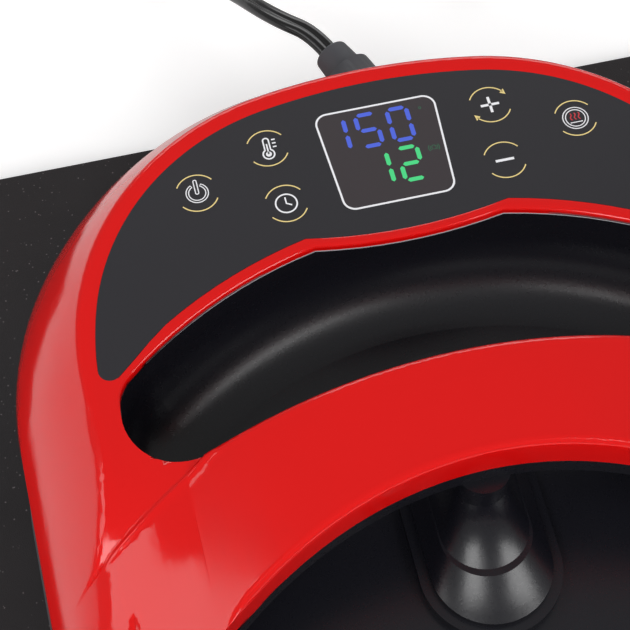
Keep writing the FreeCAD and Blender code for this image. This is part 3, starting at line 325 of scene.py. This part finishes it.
# Pressing pad. A sheet of closed-cell silicone foam with a soft skin: black with
# small paler specks scattered over it. Die-cut, with small rounded edges.
def foam_finish():
    material = finish("pad_foam", colour(36, 32, 34), 0.86, spread=0.1, grain=2400.0, height=0.0002, mottle=0.1)
    tree = material.node_tree
    here = Term(tree)
    shader = tree.nodes["Principled BSDF"]
    # Paler specks where a cell pattern and a noise patch both pass their thresholds.
    specks = here.node("ShaderNodeTexVoronoi", inputs={"Vector": here.place(), "Scale": 520.0}, output="Distance")
    cut = here.noise(300.0, detail=4.0)
    mask = (specks < 0.16) * (cut > 0.52)
    tint = here.mixed(here.noise(60.0), colour(22, 18, 20), colour(32, 28, 30))
    tree.links.new(here.mixed(mask, tint, colour(92, 86, 88)).socket, shader.inputs["Base Color"])
    return material


def foam_pad():
    low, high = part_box("pressing_pad")
    size = high - low
    mesh = bmesh.new()
    bmesh.ops.create_cube(mesh, size=1.0, matrix=Matrix.Translation((low + high) / 2)
                          @ Matrix.Diagonal((*size, 1.0)))
    upright = [e for e in mesh.edges if abs(e.verts[0].co.z - e.verts[1].co.z) > size.z / 2]
    bmesh.ops.bevel(mesh, geom=upright, offset=0.008, segments=10, affect="EDGES", profile=0.5, material=-1)
    rims = [e for e in mesh.edges if abs(e.verts[0].co.z - e.verts[1].co.z) < size.z / 2]
    bmesh.ops.bevel(mesh, geom=rims, offset=0.0014, segments=4, affect="EDGES", profile=0.5, material=-1)
    data = bpy.data.meshes.new("foam_pad")
    mesh.to_mesh(data)
    mesh.free()
    return data


pad = mesh_object("foam_pad", foam_pad(), foam_finish())
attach(pad, "pad")
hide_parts("pressing_pad")


# Red upper shell. One injection-moulded ABS part with a polished skin. It starts from
# the CAD's walls, whose recess edge is rounded over here, and whose two roots of the
# handle flow into the flanks behind a fine crease, as the moulder drew them.
SHOULDER = 93.7
CREST = 113.7
ARCH = 221.0
LIP_TOP = 45.7
LIP_HALF = 145.0
FLANK_RUN = 26.5
FLANK_RISE = 48.0
FRONT_CORNER = Vector((60.0, -67.6))
FRONT_CORNER_RADIUS = 85.0
BACK_EDGE = -2.0
BACK_EDGE_ARC = 400.0
ROOT_FROM = 84.0
ROOT_LEAN = math.radians(31.5)
RIM_DEPTH = 3.0
RIM_BACK = 1.2
RIM_END = -9.5
SEAT_DEPTH = 0.5
SEAT_FORWARD = 0.6
TIP = Vector((108.0, 25.0))
TIP_REACH = Vector((0.8, -3.6))
ROOT_START = BACK_EDGE - BACK_EDGE_ARC + math.sqrt(BACK_EDGE_ARC ** 2 - ROOT_FROM ** 2)


def ramp(value, low, high):
    share = min(max((value - low) / (high - low), 0.0), 1.0)
    return share * share * (3 - 2 * share)


def softest(a, b, reach):
    """The lower of two heights, with the corner between them rounded."""
    near = max(reach - abs(a - b), 0.0) / reach
    return min(a, b) - near * near * reach / 4


def before_crease(x, y):
    """How far a place lies before the crease that leaves the handle's back edge."""
    line = ROOT_START - math.tan(ROOT_LEAN) * (abs(x) - ROOT_FROM)
    return (line - y) * math.cos(ROOT_LEAN)


def flank_height(x, y):
    inset = LIP_HALF - abs(x)
    if y < FRONT_CORNER.y and abs(x) > FRONT_CORNER.x:
        inset = FRONT_CORNER_RADIUS - (Vector((abs(x), y)) - FRONT_CORNER).length
    share = max(inset, 0.0) / FLANK_RUN
    rise = (math.sqrt(0.65 ** 2 + 4 * 0.35 * share) - 0.65) / (2 * 0.35)
    return LIP_TOP + FLANK_RISE * rise


def root_height(x, y):
    """Height of the shell where the handle's root meets the shoulder and the flank."""
    ahead = before_crease(x, y)
    out = max(abs(x) - 88.0, 0.0)
    crease = SHOULDER - 0.0085 * out ** 2
    arch = CREST - ARCH + math.sqrt(ARCH ** 2 - x ** 2)
    if ahead > 0:
        settled = ramp(ahead, 0.0, 42.0)
        top = max(crease, arch) * (1 - settled) + arch * settled
        ridge = 0.9 * math.exp(-((ahead - 1.2) / 1.1) ** 2)
        return softest(flank_height(x, y), top, 9.0) + ridge * ramp(130 - abs(x), 0.0, 14.0)
    dip = max(1 + ahead / 26.0, 0.0) ** 2
    return softest(flank_height(x, y), SHOULDER - (SHOULDER - crease) * dip, 3.0)


def cut_finely(mesh, point, normal):
    """Cuts the mesh along a plane, within the part where the roots are shaped."""
    near = [f for f in mesh.faces if abs(f.calc_center_median().x) > 0.07
            and any(-0.115 < v.co.y < 0.024 for v in f.verts)]
    geometry = list({g for f in near for g in (*f.verts, *f.edges)}) + near
    bmesh.ops.bisect_plane(mesh, geom=geometry, dist=1e-6, plane_co=point, plane_no=normal)


def walls_under(mesh, flat, depth):
    """Edges of the flat top that an upright wall of this depth stands under, with the wall."""
    found = {}
    for edge in mesh.edges:
        walls = [f for f in edge.link_faces if f not in flat]
        if len(walls) == 1 and abs(walls[0].normal.z) < 0.05:
            if abs(SHOULDER / 1000 - min(v.co.z for v in walls[0].verts) - depth / 1000) < 1e-4:
                found[edge] = walls[0]
    return found


def slid(walls, rule):
    """The new plan place of each corner of these walls, by a rule on place and facing."""
    facing = {}
    for edge, wall in walls.items():
        for vert in edge.verts:
            facing.setdefault((round(vert.co.x, 6), round(vert.co.y, 6)), []).append(wall.normal)
    return {key: rule(Vector(key), sum(found, Vector()).normalized().xy) for key, found in facing.items()}


def narrowed_rim(place, facing):
    """The recess reaches a little further back under the brow than the wall of the CAD."""
    return -facing * RIM_BACK / 1000 * ramp(-facing.y, 0.1, 0.6)


def widened_seat(place, facing):
    """The film's seat reaches closer to the recess, and its two tips reach further forward."""
    tip = Vector((math.copysign(TIP.x, place.x), TIP.y)) / 1000
    near = 1 - ramp((place - tip).length * 1000, 4.0, 26.0)
    drawn = Vector((math.copysign(TIP_REACH.x, place.x), TIP_REACH.y)) / 1000
    return -facing * SEAT_FORWARD / 1000 * ramp(facing.y, 0.1, 0.6) * (1 - near) + drawn * near


def shell_mesh():
    mesh = bmesh.new()
    mesh.from_mesh(nodes["upper_shell"].data)
    bmesh.ops.remove_doubles(mesh, verts=mesh.verts, dist=1e-6)

    def top_faces():
        return {f for f in mesh.faces if f.normal.z > 0.9999
                and abs(f.calc_center_median().z - SHOULDER / 1000) < 2e-5}

    flat = top_faces()
    shared = [e for e in mesh.edges if all(f in flat for f in e.link_faces)]
    bmesh.ops.dissolve_limit(mesh, angle_limit=0.004, verts=list({v for e in shared for v in e.verts}), edges=shared)
    flat = top_faces()
    rim = walls_under(mesh, flat, RIM_DEPTH)
    moves = slid(rim, narrowed_rim)
    seat_moves = slid(walls_under(mesh, flat, SEAT_DEPTH), widened_seat)
    moves.update(seat_moves)
    for vert in mesh.verts:
        key = (round(vert.co.x, 6), round(vert.co.y, 6))
        if key in moves and vert.co.z > (SHOULDER - RIM_DEPTH - 0.1) / 1000:
            vert.co.xy += moves[key]
    lip = sorted(tuple((Vector(k) + move) * 1000) for k, move in slid(rim, narrowed_rim).items() if move.y > 0)
    rounded_edges = [e for e in rim if min(v.co.y for v in e.verts) > RIM_END / 1000]
    bmesh.ops.bevel(mesh, geom=rounded_edges, offset=0.0013, segments=5, affect="EDGES", profile=0.5, material=-1)
    bmesh.ops.triangulate(mesh, faces=[f for f in mesh.faces if len(f.verts) > 4])
    for side in (1, -1):
        for step in range(78, 146, 3):
            cut_finely(mesh, (side * step / 1000, 0, 0), (1, 0, 0))
        lean = Vector((side * math.sin(ROOT_LEAN), math.cos(ROOT_LEAN), 0))
        start = Vector((side * ROOT_FROM, ROOT_START, 0)) / 1000
        for step in (-4, -2.5, -1.5, -0.8, -0.3, 0.3, 0.8, 1.3, 2.0, 3.0, 4.5):
            cut_finely(mesh, start - lean * step / 1000, lean)
    for step in range(-111, 21, 3):
        cut_finely(mesh, (0, step / 1000, 0), (0, 1, 0))
    return mesh, seat_moves, lip


def shape_roots(mesh):
    """Lifts or lowers each upright line of points so that the outer skin takes root_height."""
    mesh.normal_update()
    tree = BVHTree.FromBMesh(mesh)
    down = Vector((0, 0, -1))
    skin = []
    others = []
    for vert in mesh.verts:
        x, y, z = vert.co * 1000
        if abs(x) < 79 or not -112 < y < 20:
            continue
        upward = any(f.normal.z > 0.12 for f in vert.link_faces)
        hit = tree.ray_cast(Vector((vert.co.x, vert.co.y, 0.2)), down)[0]
        if upward and (hit is None or vert.co.z > hit.z - 1e-4) and z > LIP_TOP - 0.1:
            share = ramp(abs(x), 80, 91) * ramp(y, -111, -80) * (1 - ramp(y, 8, 19))
            skin.append((vert, share * (root_height(x, y) - z) / 1000))
        else:
            others.append(vert)
    flat_tree = KDTree(len(skin))
    for i, (vert, _) in enumerate(skin):
        flat_tree.insert((vert.co.x, vert.co.y, 0), i)
    flat_tree.balance()
    moves = [(v, skin[flat_tree.find((v.co.x, v.co.y, 0))[1]][1]) for v in others]
    for vert, move in skin + moves:
        vert.co.z += move


red = finish("shell_red", colour(216, 10, 8), 0.12, spread=0.04, grain=320.0, height=0.00001, mottle=0.02,
             Specular_IOR_Level=0.4)
formed, seat_moves, lip = shell_mesh()
shape_roots(formed)
shell_data = bpy.data.meshes.new("red_shell")
formed.to_mesh(shell_data)
formed.free()
shell = mesh_object("red_shell", shell_data, red)
shell_data.set_sharp_from_angle(angle=math.radians(32))
OUTLET = Vector((-0.5, 142.0, 68.0)) / 1000
OUTLET_RADIUS = 9.7
OUTLET_BACK = 12.0
shell_data.materials.append(rubber)
for face in shell_data.polygons:
    along = (face.center - OUTLET).dot(BOOT_AXIS)
    aside = (face.center - OUTLET - BOOT_AXIS * along).length
    face.material_index = int(along > -OUTLET_BACK / 1000 and aside < OUTLET_RADIUS / 1000)
shell.modifiers.new("even_normals", "WEIGHTED_NORMAL").keep_sharp = True
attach(shell, "press")
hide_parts("upper_shell")

# Inner tub, neck and handle underside. Black ABS, polished like the shell. The tub's
# lip is a thin bead painted pale grey: a painted highlight along the edge under the brow.
black = finish("well_black", colour(19, 19, 25), 0.28, spread=0.05, grain=900.0, height=0.00002)
for name in ("inner_tub", "centre_neck", "handle_underside"):
    dress(name, black)

LIP_BEAD = 0.32
LIP_FORWARD = 1.1
bead_curve = bpy.data.curves.new("tub_lip_glint", "CURVE")
bead_curve.dimensions = "3D"
bead_curve.bevel_depth = LIP_BEAD / 1000
bead_curve.bevel_resolution = 2
bead_curve.use_fill_caps = True
bead = bead_curve.splines.new("POLY")
bead.points.add(len(lip) - 1)
for point, (x, y) in zip(bead.points, lip):
    point.co = (x / 1000, (y - LIP_FORWARD) / 1000, (SHOULDER - RIM_DEPTH) / 1000, 1)
guide = bpy.data.objects.new("tub_lip_glint", bead_curve)
bpy.context.scene.collection.objects.link(guide)
bead_data = bpy.data.meshes.new_from_object(guide.evaluated_get(bpy.context.evaluated_depsgraph_get()))
bpy.data.objects.remove(guide)
# The bead's pale grey is a painted highlight on the black lip, not the lip's own colour.
lip_glint_bead = mesh_object("tub_lip_glint", bead_data, finish("lip_painted_glint", colour(150, 150, 156), 0.3, grain=900.0))
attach(lip_glint_bead, "press")

# Lower housing. Black ABS from an unpolished mould, screwed up into the shell.
dress("lower_housing", finish("housing_black", colour(26, 26, 28), 0.5, grain=2200.0, height=0.00003))

# Heat plate. Cast aluminium with a dark, faintly speckled non-stick coat.
dress("heat_plate", finish("plate_coat", colour(72, 72, 75), 0.45, grain=1500.0, height=0.00003, mottle=0.12))

# Panel overlay and display window. A polyester film printed on its back in
# charcoal, with a smoked acrylic window let into it.
film = finish("overlay_film", colour(39, 38, 42), 0.42, grain=3200.0, height=0.00001, mottle=0.03,
              Specular_IOR_Level=0.36)
FILM_REACH = 4.5
WINDOW = (0.0, 88.0)
overlay_mesh = bmesh.new()
overlay_mesh.from_mesh(nodes["panel_overlay"].data)
bmesh.ops.remove_doubles(overlay_mesh, verts=overlay_mesh.verts, dist=1e-6)
corners = list(seat_moves)
seat_tree = KDTree(len(corners))
for i, corner in enumerate(corners):
    seat_tree.insert((*corner, 0), i)
seat_tree.balance()
for vert in overlay_mesh.verts:
    (_, i, gap), (_, j, further) = seat_tree.find_n((vert.co.x, vert.co.y, 0), 2)
    if gap < FILM_REACH / 1000:
        vert.co.xy += seat_moves[corners[i]].lerp(seat_moves[corners[j]], gap / (gap + further))
# Painted shadow: a thin black band inset along the film's top edge, away from the window, stands in for the shade in
# the gap between the film and the red shell.
EDGE_SHADOW_WIDTH = 0.35
WINDOW_ZONE = 32.0
faced = [f for f in overlay_mesh.faces if f.normal.z > 0.9]
edging = bmesh.ops.inset_region(overlay_mesh, faces=faced, thickness=EDGE_SHADOW_WIDTH / 1000, use_boundary=True,
                                use_even_offset=True)["faces"]
for face in edging:
    middle = face.calc_center_median()
    if math.dist((middle.x * 1000, middle.y * 1000), WINDOW) > WINDOW_ZONE:
        face.material_index = 1
overlay_data = bpy.data.meshes.new("panel_film")
overlay_mesh.to_mesh(overlay_data)
overlay_mesh.free()
overlay = mesh_object("panel_film", overlay_data, film, smooth=False)
overlay_data.materials.append(finish("film_edge_painted_shadow", colour(12, 11, 13), 0.6, grain=900.0, height=0.0))
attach(overlay, "press")
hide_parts("panel_overlay")
dress("display_window", finish("window_smoke", colour(54, 48, 51), 0.34, grain=300.0, height=0.0, mottle=0.02))

# Printed graphics. White, gold and red inks under the film's clear face, drawn as
# thin bands that lie on the panel. Words and names of the real panel are left off:
# its two worded buttons carry a thermometer and a clock, and the unit is a small ring.
PANEL_Y = 99.0
INK = 0.02
RING = 7.35
RING_LINE = 0.42
ICON_LINE = 0.55
BUTTONS = {"power": (-67.7, -12.5), "temp": (-40.2, 0.0), "timer": (-38.8, -23.6),
           "plus": (40.3, 0.0), "minus": (39.0, -23.6), "heat": (68.0, -12.4)}


def arc(centre, radius, start, stop, steps=24):
    """Points of an arc, with its angles in degrees."""
    angles = [math.radians(start + (stop - start) * i / steps) for i in range(steps + 1)]
    return [(centre[0] + radius * math.cos(a), centre[1] + radius * math.sin(a)) for a in angles]


def circle(centre, radius, steps=40):
    return arc(centre, radius, 0, 360 - 360 / steps, steps - 1)


def shifted(points, place):
    return [(x + place[0], y + place[1]) for x, y in points]


def rounded(corners, radius):
    """An outline given by its corners, with each corner turned into an arc."""
    outline = []
    for i, corner in enumerate(corners):
        here = Vector(corner)
        before = (Vector(corners[i - 1]) - here).normalized()
        after = (Vector(corners[(i + 1) % len(corners)]) - here).normalized()
        half = before.angle(after) / 2
        centre = here + (before + after).normalized() * radius / math.sin(half)
        start = here + before * radius / math.tan(half) - centre
        stop = here + after * radius / math.tan(half) - centre
        for step in range(9):
            outline.append(tuple(centre + start.lerp(stop, step / 8).normalized() * radius))
    return outline


def band(name, runs, width, material):
    """Draws lines as a flat band: each run is a list of points and whether it closes."""
    section = bpy.data.curves.new("band_section", "CURVE")
    corners = section.splines.new("POLY")
    corners.points.add(3)
    for point, (across, up) in zip(corners.points, ((-1, 0), (1, 0), (1, 1), (-1, 1))):
        point.co = (across * width / 2000, up * INK / 1000, 0, 1)
    corners.use_cyclic_u = True
    curve = bpy.data.curves.new(name, "CURVE")
    curve.dimensions = "3D"
    curve.twist_mode = "Z_UP"
    for points, closed in runs:
        spline = curve.splines.new("POLY")
        spline.points.add(len(points) - 1)
        for point, (x, y) in zip(spline.points, points):
            point.co = (x / 1000, y / 1000, 0, 1)
        spline.use_cyclic_u = closed
    curve.bevel_mode = "OBJECT"
    curve.bevel_object = bpy.data.objects.new("band_section", section)
    bpy.context.scene.collection.objects.link(curve.bevel_object)
    curve.use_fill_caps = True
    return laid(name, curve, material)


def patch(name, outlines, material):
    """Draws filled shapes."""
    curve = bpy.data.curves.new(name, "CURVE")
    curve.dimensions = "2D"
    curve.fill_mode = "BOTH"
    curve.extrude = INK / 2000
    for points in outlines:
        spline = curve.splines.new("POLY")
        spline.points.add(len(points) - 1)
        for point, (x, y) in zip(spline.points, points):
            point.co = (x / 1000, y / 1000, 0, 1)
        spline.use_cyclic_u = True
    return laid(name, curve, material, INK / 2)


def laid(name, curve, material, lift=0.0):
    """Turns a curve into a mesh that lies on the panel and rides with the press."""
    guide = bpy.data.objects.new(name, curve)
    bpy.context.scene.collection.objects.link(guide)
    flat = bpy.data.meshes.new_from_object(guide.evaluated_get(bpy.context.evaluated_depsgraph_get()))
    if curve.bevel_object:
        bpy.data.objects.remove(curve.bevel_object)
    bpy.data.objects.remove(guide)
    flat.transform(Matrix.Translation((0, PANEL_Y / 1000, (SHOULDER + lift) / 1000)))
    closed = bmesh.new()
    closed.from_mesh(flat)
    bmesh.ops.remove_doubles(closed, verts=closed.verts, dist=1e-7)
    bmesh.ops.recalc_face_normals(closed, faces=closed.faces)
    closed.to_mesh(flat)
    closed.free()
    made = mesh_object(name, flat, material, smooth=False)
    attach(made, "press")
    return made


white_ink = finish("white_ink", colour(238, 238, 242), 0.5, grain=900.0, height=0.0, mottle=0.01)
gold_ink = finish("gold_ink", colour(236, 212, 140), 0.5, grain=900.0, height=0.0, mottle=0.01)
red_ink = finish("red_ink", colour(196, 52, 62), 0.5, grain=900.0, height=0.0, mottle=0.01)

DISPLAY_FRAME = [(-21.7, 9.1), (-19.4, -31.3), (19.4, -31.3), (21.7, 9.1)]
band("display_frame", [(rounded(DISPLAY_FRAME, 4.2), True)], 0.7, white_ink)

arcs = []
for place in BUTTONS.values():
    arcs += [(arc(place, RING, 37, 152), False), (arc(place, RING, 217, 332), False)]
band("button_rings", arcs, RING_LINE, gold_ink)
heads = []
for turned in (0, 180):
    tip, back = (math.radians(turned + a) for a in (25.5, 42.0))
    for reach, angle in ((RING, tip), (RING - 1.1, back), (RING + 1.1, back)):
        heads.append((reach * math.cos(angle), reach * math.sin(angle)))
patch("plus_arrowheads", [shifted(heads[:3], BUTTONS["plus"]), shifted(heads[3:], BUTTONS["plus"])], gold_ink)

power_ring = arc((0, 0), 3.85, 118, 422, 40) + arc((0, 0), 2.95, 422, 118, 36)
power_bar = arc((0, 4.8), 0.55, 0, 180, 8) + arc((0, 0.1), 0.55, 180, 360, 8)
band("power_sign", [(shifted(power_ring, BUTTONS["power"]), True), (shifted(power_bar, BUTTONS["power"]), True)],
     0.36, white_ink)

BULB = (0.0, -2.5)
stem = arc((0, 3.2), 1.0, 0, 180, 12) + arc(BULB, 2.0, 120, 420, 28)
ticks = [([(2.0, y), (3.3, y)], False) for y in (3.2, 1.7, 0.2)]
temp_runs = [(stem, True), ([BULB, (0, 1.8)], False)] + ticks
clock_runs = [(circle((0, 0), 3.7), True), ([(0, 2.5), (0, 0), (1.8, -1.0)], False)]
drawn = [(shifted(run, BUTTONS["temp"]), closed) for run, closed in temp_runs]
drawn += [(shifted(run, BUTTONS["timer"]), closed) for run, closed in clock_runs]
band("temp_timer_signs", drawn, ICON_LINE, white_ink)
patch("temp_bulb", [shifted(circle(BULB, 1.05, 20), BUTTONS["temp"])], white_ink)

strokes = [([(-3.35, 0), (3.35, 0)], "plus"), ([(0, 3.35), (0, -3.35)], "plus"), ([(-3.3, 0), (3.3, 0)], "minus")]
band("plus_minus_signs", [(shifted(run, BUTTONS[key]), False) for run, key in strokes], 0.98, white_ink)

heat_runs = [(circle((0, 0), 4.5), True), (circle((0, 0), 3.5), True), ([(-2.3, -1.75), (2.2, -1.75)], False)]
band("heat_sign", [(shifted(run, BUTTONS["heat"]), closed) for run, closed in heat_runs], 0.36, white_ink)
waves = []
for across in (-1.45, 0.0, 1.45):
    wave = [(across + 0.3 * math.sin(2.2 * math.pi * i / 12), 2.2 - 2.9 * i / 12) for i in range(13)]
    waves.append((shifted(wave, BUTTONS["heat"]), False))
band("heat_waves", waves, 0.42, red_ink)


# Display figures. Seven-segment figures lit from behind the smoked window: blue for
# the temperature and green for the time, with a faint ring for the unit and a bell.
FIGURE_HALF = 6.65
FIGURE_SIDE = 3.5
SEGMENT_WIDTH = 1.6
STANDING = 5.5
LYING = 5.8
SEGMENTS = {"a": (0, 2, False), "b": (1, 1, True), "c": (1, -1, True), "d": (0, -2, False),
            "e": (-1, -1, True), "f": (-1, 1, True), "g": (0, 0, False)}
FIGURES = {"0": "abcdef", "1": "bc", "2": "abdeg", "5": "acdfg"}


def glow(name, rgba, strength=1.0):
    material = finish(name, colour(20, 20, 22), 0.4, grain=900.0, height=0.0, mottle=0.0)
    shader = material.node_tree.nodes["Principled BSDF"]
    shader.inputs["Emission Color"].default_value = rgba
    shader.inputs["Emission Strength"].default_value = strength
    return material


def segment(place, upright):
    """One lit bar with pointed ends."""
    reach, half = (STANDING if upright else LYING) / 2, SEGMENT_WIDTH / 2
    bar = [(-reach, 0), (half * 0.9 - reach, half), (reach - half * 0.9, half),
           (reach, 0), (reach - half * 0.9, -half), (half * 0.9 - reach, -half)]
    if upright:
        bar = [(y, x) for x, y in bar]
    return shifted(bar, place)


def figures(name, text, last, pitch, middle, material):
    """Seven-segment figures, with the last one's centre given."""
    bars = []
    for i, figure in enumerate(reversed(text)):
        for key in FIGURES[figure]:
            side, level, upright = SEGMENTS[key]
            place = (last - pitch * i + side * FIGURE_SIDE, middle + level * FIGURE_HALF / 2)
            bars.append(segment(place, upright))
    patch(name, bars, material)


figures("blue_figures", "150", 7.5, 11.45, -0.65, glow("blue_glow", colour(70, 95, 215)))
figures("green_figures", "12", 7.0, 11.05, -17.4, glow("green_glow", colour(66, 212, 128)))
BELL = (16.4, -13.0)
faint = glow("faint_glow", colour(38, 96, 66))
bell = arc((0, 0.35), 0.7, 0, 180, 10) + [(-0.75, -0.6), (0.75, -0.6)]
signs = [(shifted(bell, BELL), True), (circle((15.8, 4.4), 0.42, 16), True)]
for reach in (1.35, 1.95):
    signs += [(arc(BELL, reach, -38, 38, 8), False), (arc(BELL, reach, 142, 218, 8), False)]
band("faint_signs", signs, 0.24, faint)


# Hidden parts: boards, screws, insulation, element, keys and wiring, each in the
# stuff that such parts are made of.
steel = finish("zinc_steel", colour(176, 178, 182), 0.34, grain=700.0, Metallic=1.0)
board = finish("board_green", colour(28, 92, 52), 0.4, grain=900.0)
pale = finish("part_white", colour(222, 220, 212), 0.48, grain=1500.0)
part = finish("part_black", colour(30, 30, 31), 0.46, grain=1500.0)
hidden = {
    steel: ["heat_shield", "thermal_cutout", "sensor_clip", "control_screws", "power_board_screws",
            "shell_screws", "neck_screws", "plate_screws"],
    board: ["control_board", "power_board"],
    pale: ["relay", "terminal_block", "ribbon_cable"],
    part: ["display_module", "switch_housings", "buzzer"],
    brass: ["temperature_sensor"],
    finish("element_sheath", colour(122, 112, 104), 0.4, grain=600.0, mottle=0.2, Metallic=1.0):
        ["heating_element", "transformer_core"],
    finish("glass_wool", colour(226, 222, 208), 0.9, grain=1200.0, height=0.0006): ["insulation_blanket"],
    finish("winding_copper", colour(184, 104, 62), 0.35, grain=900.0, Metallic=1.0): ["transformer_winding"],
    finish("lead_sleeve", colour(202, 198, 186), 0.6, grain=1600.0): ["heater_leads", "mains_cores"],
}
for material, names in hidden.items():
    for name in names:
        dress(name, material)
for key in ("power", "temp", "timer", "plus", "minus", "heat"):
    dress(key + "_key", pale)
    dress(key + "_switch_button", part)


# Studio. A white floor and white surroundings, lit by four large soft lamps.
def soft_lamp(name, place, aim, size, power):
    lamp = bpy.data.lights.new(name, "AREA")
    lamp.shape = "RECTANGLE"
    lamp.size, lamp.size_y = size
    lamp.energy = power
    made = bpy.data.objects.new(name, lamp)
    made.location = place
    made.rotation_mode = "QUATERNION"
    made.rotation_quaternion = (Vector(aim) - Vector(place)).to_track_quat("-Z", "Y")
    bpy.context.scene.collection.objects.link(made)


soft_lamp("lamp_left", (-1.3, 0.15, 1.05), (0, 0, 0.05), (0.8, 1.1), 7.5)
soft_lamp("lamp_back", (0.3, 1.7, 0.75), (0, 0, 0.05), (1.6, 0.8), 11)
soft_lamp("lamp_front_left", (-0.75, -1.3, 1.35), (0, 0, 0.05), (0.8, 1.0), 17)
soft_lamp("lamp_front_right", (1.15, -1.2, 1.4), (0, 0, 0.05), (0.9, 1.0), 19)

floor_mesh = bmesh.new()
bmesh.ops.create_grid(floor_mesh, x_segments=1, y_segments=1, size=6.0)
floor_data = bpy.data.meshes.new("floor")
floor_mesh.to_mesh(floor_data)
floor_mesh.free()
floor_material = bpy.data.materials.new("floor_white")
floor_material.use_nodes = True
floor_shader = floor_material.node_tree.nodes["Principled BSDF"]
floor_shader.inputs["Base Color"].default_value = (0.9, 0.9, 0.9, 1)
floor_shader.inputs["Roughness"].default_value = 0.8
floor_shader.inputs["Emission Strength"].default_value = 1.0
ground = Term(floor_material.node_tree)
seen = ground.node("ShaderNodeLightPath", output="Is Camera Ray")
away = ground.node("ShaderNodeVectorMath", {"operation": "LENGTH"}, {0: ground.place()}, output="Value")
FLOOR_FADE = {"From Min": 0.5, "From Max": 2.0, "To Min": 0.3, "To Max": 0.85}
fade = ground.node("ShaderNodeMapRange", inputs={"Value": away, **FLOOR_FADE})
floor_material.node_tree.links.new((seen * fade).socket, floor_shader.inputs["Emission Color"])
floor = mesh_object("floor", floor_data, floor_material)

world = bpy.data.worlds.new("studio")
bpy.context.scene.world = world
world.use_nodes = True
sky = Term(world.node_tree)
ray = sky.node("ShaderNodeLightPath", output="Is Camera Ray")
backdrop = world.node_tree.nodes["Background"]
backdrop.inputs["Color"].default_value = (1, 1, 1, 1)
mirrored = sky.node("ShaderNodeLightPath", output="Is Glossy Ray") + sky.node("ShaderNodeLightPath", output="Is Transmission Ray")
world.node_tree.links.new((0.24 + 0.76 * ray + 0.12 * mirrored).socket, backdrop.inputs["Strength"])
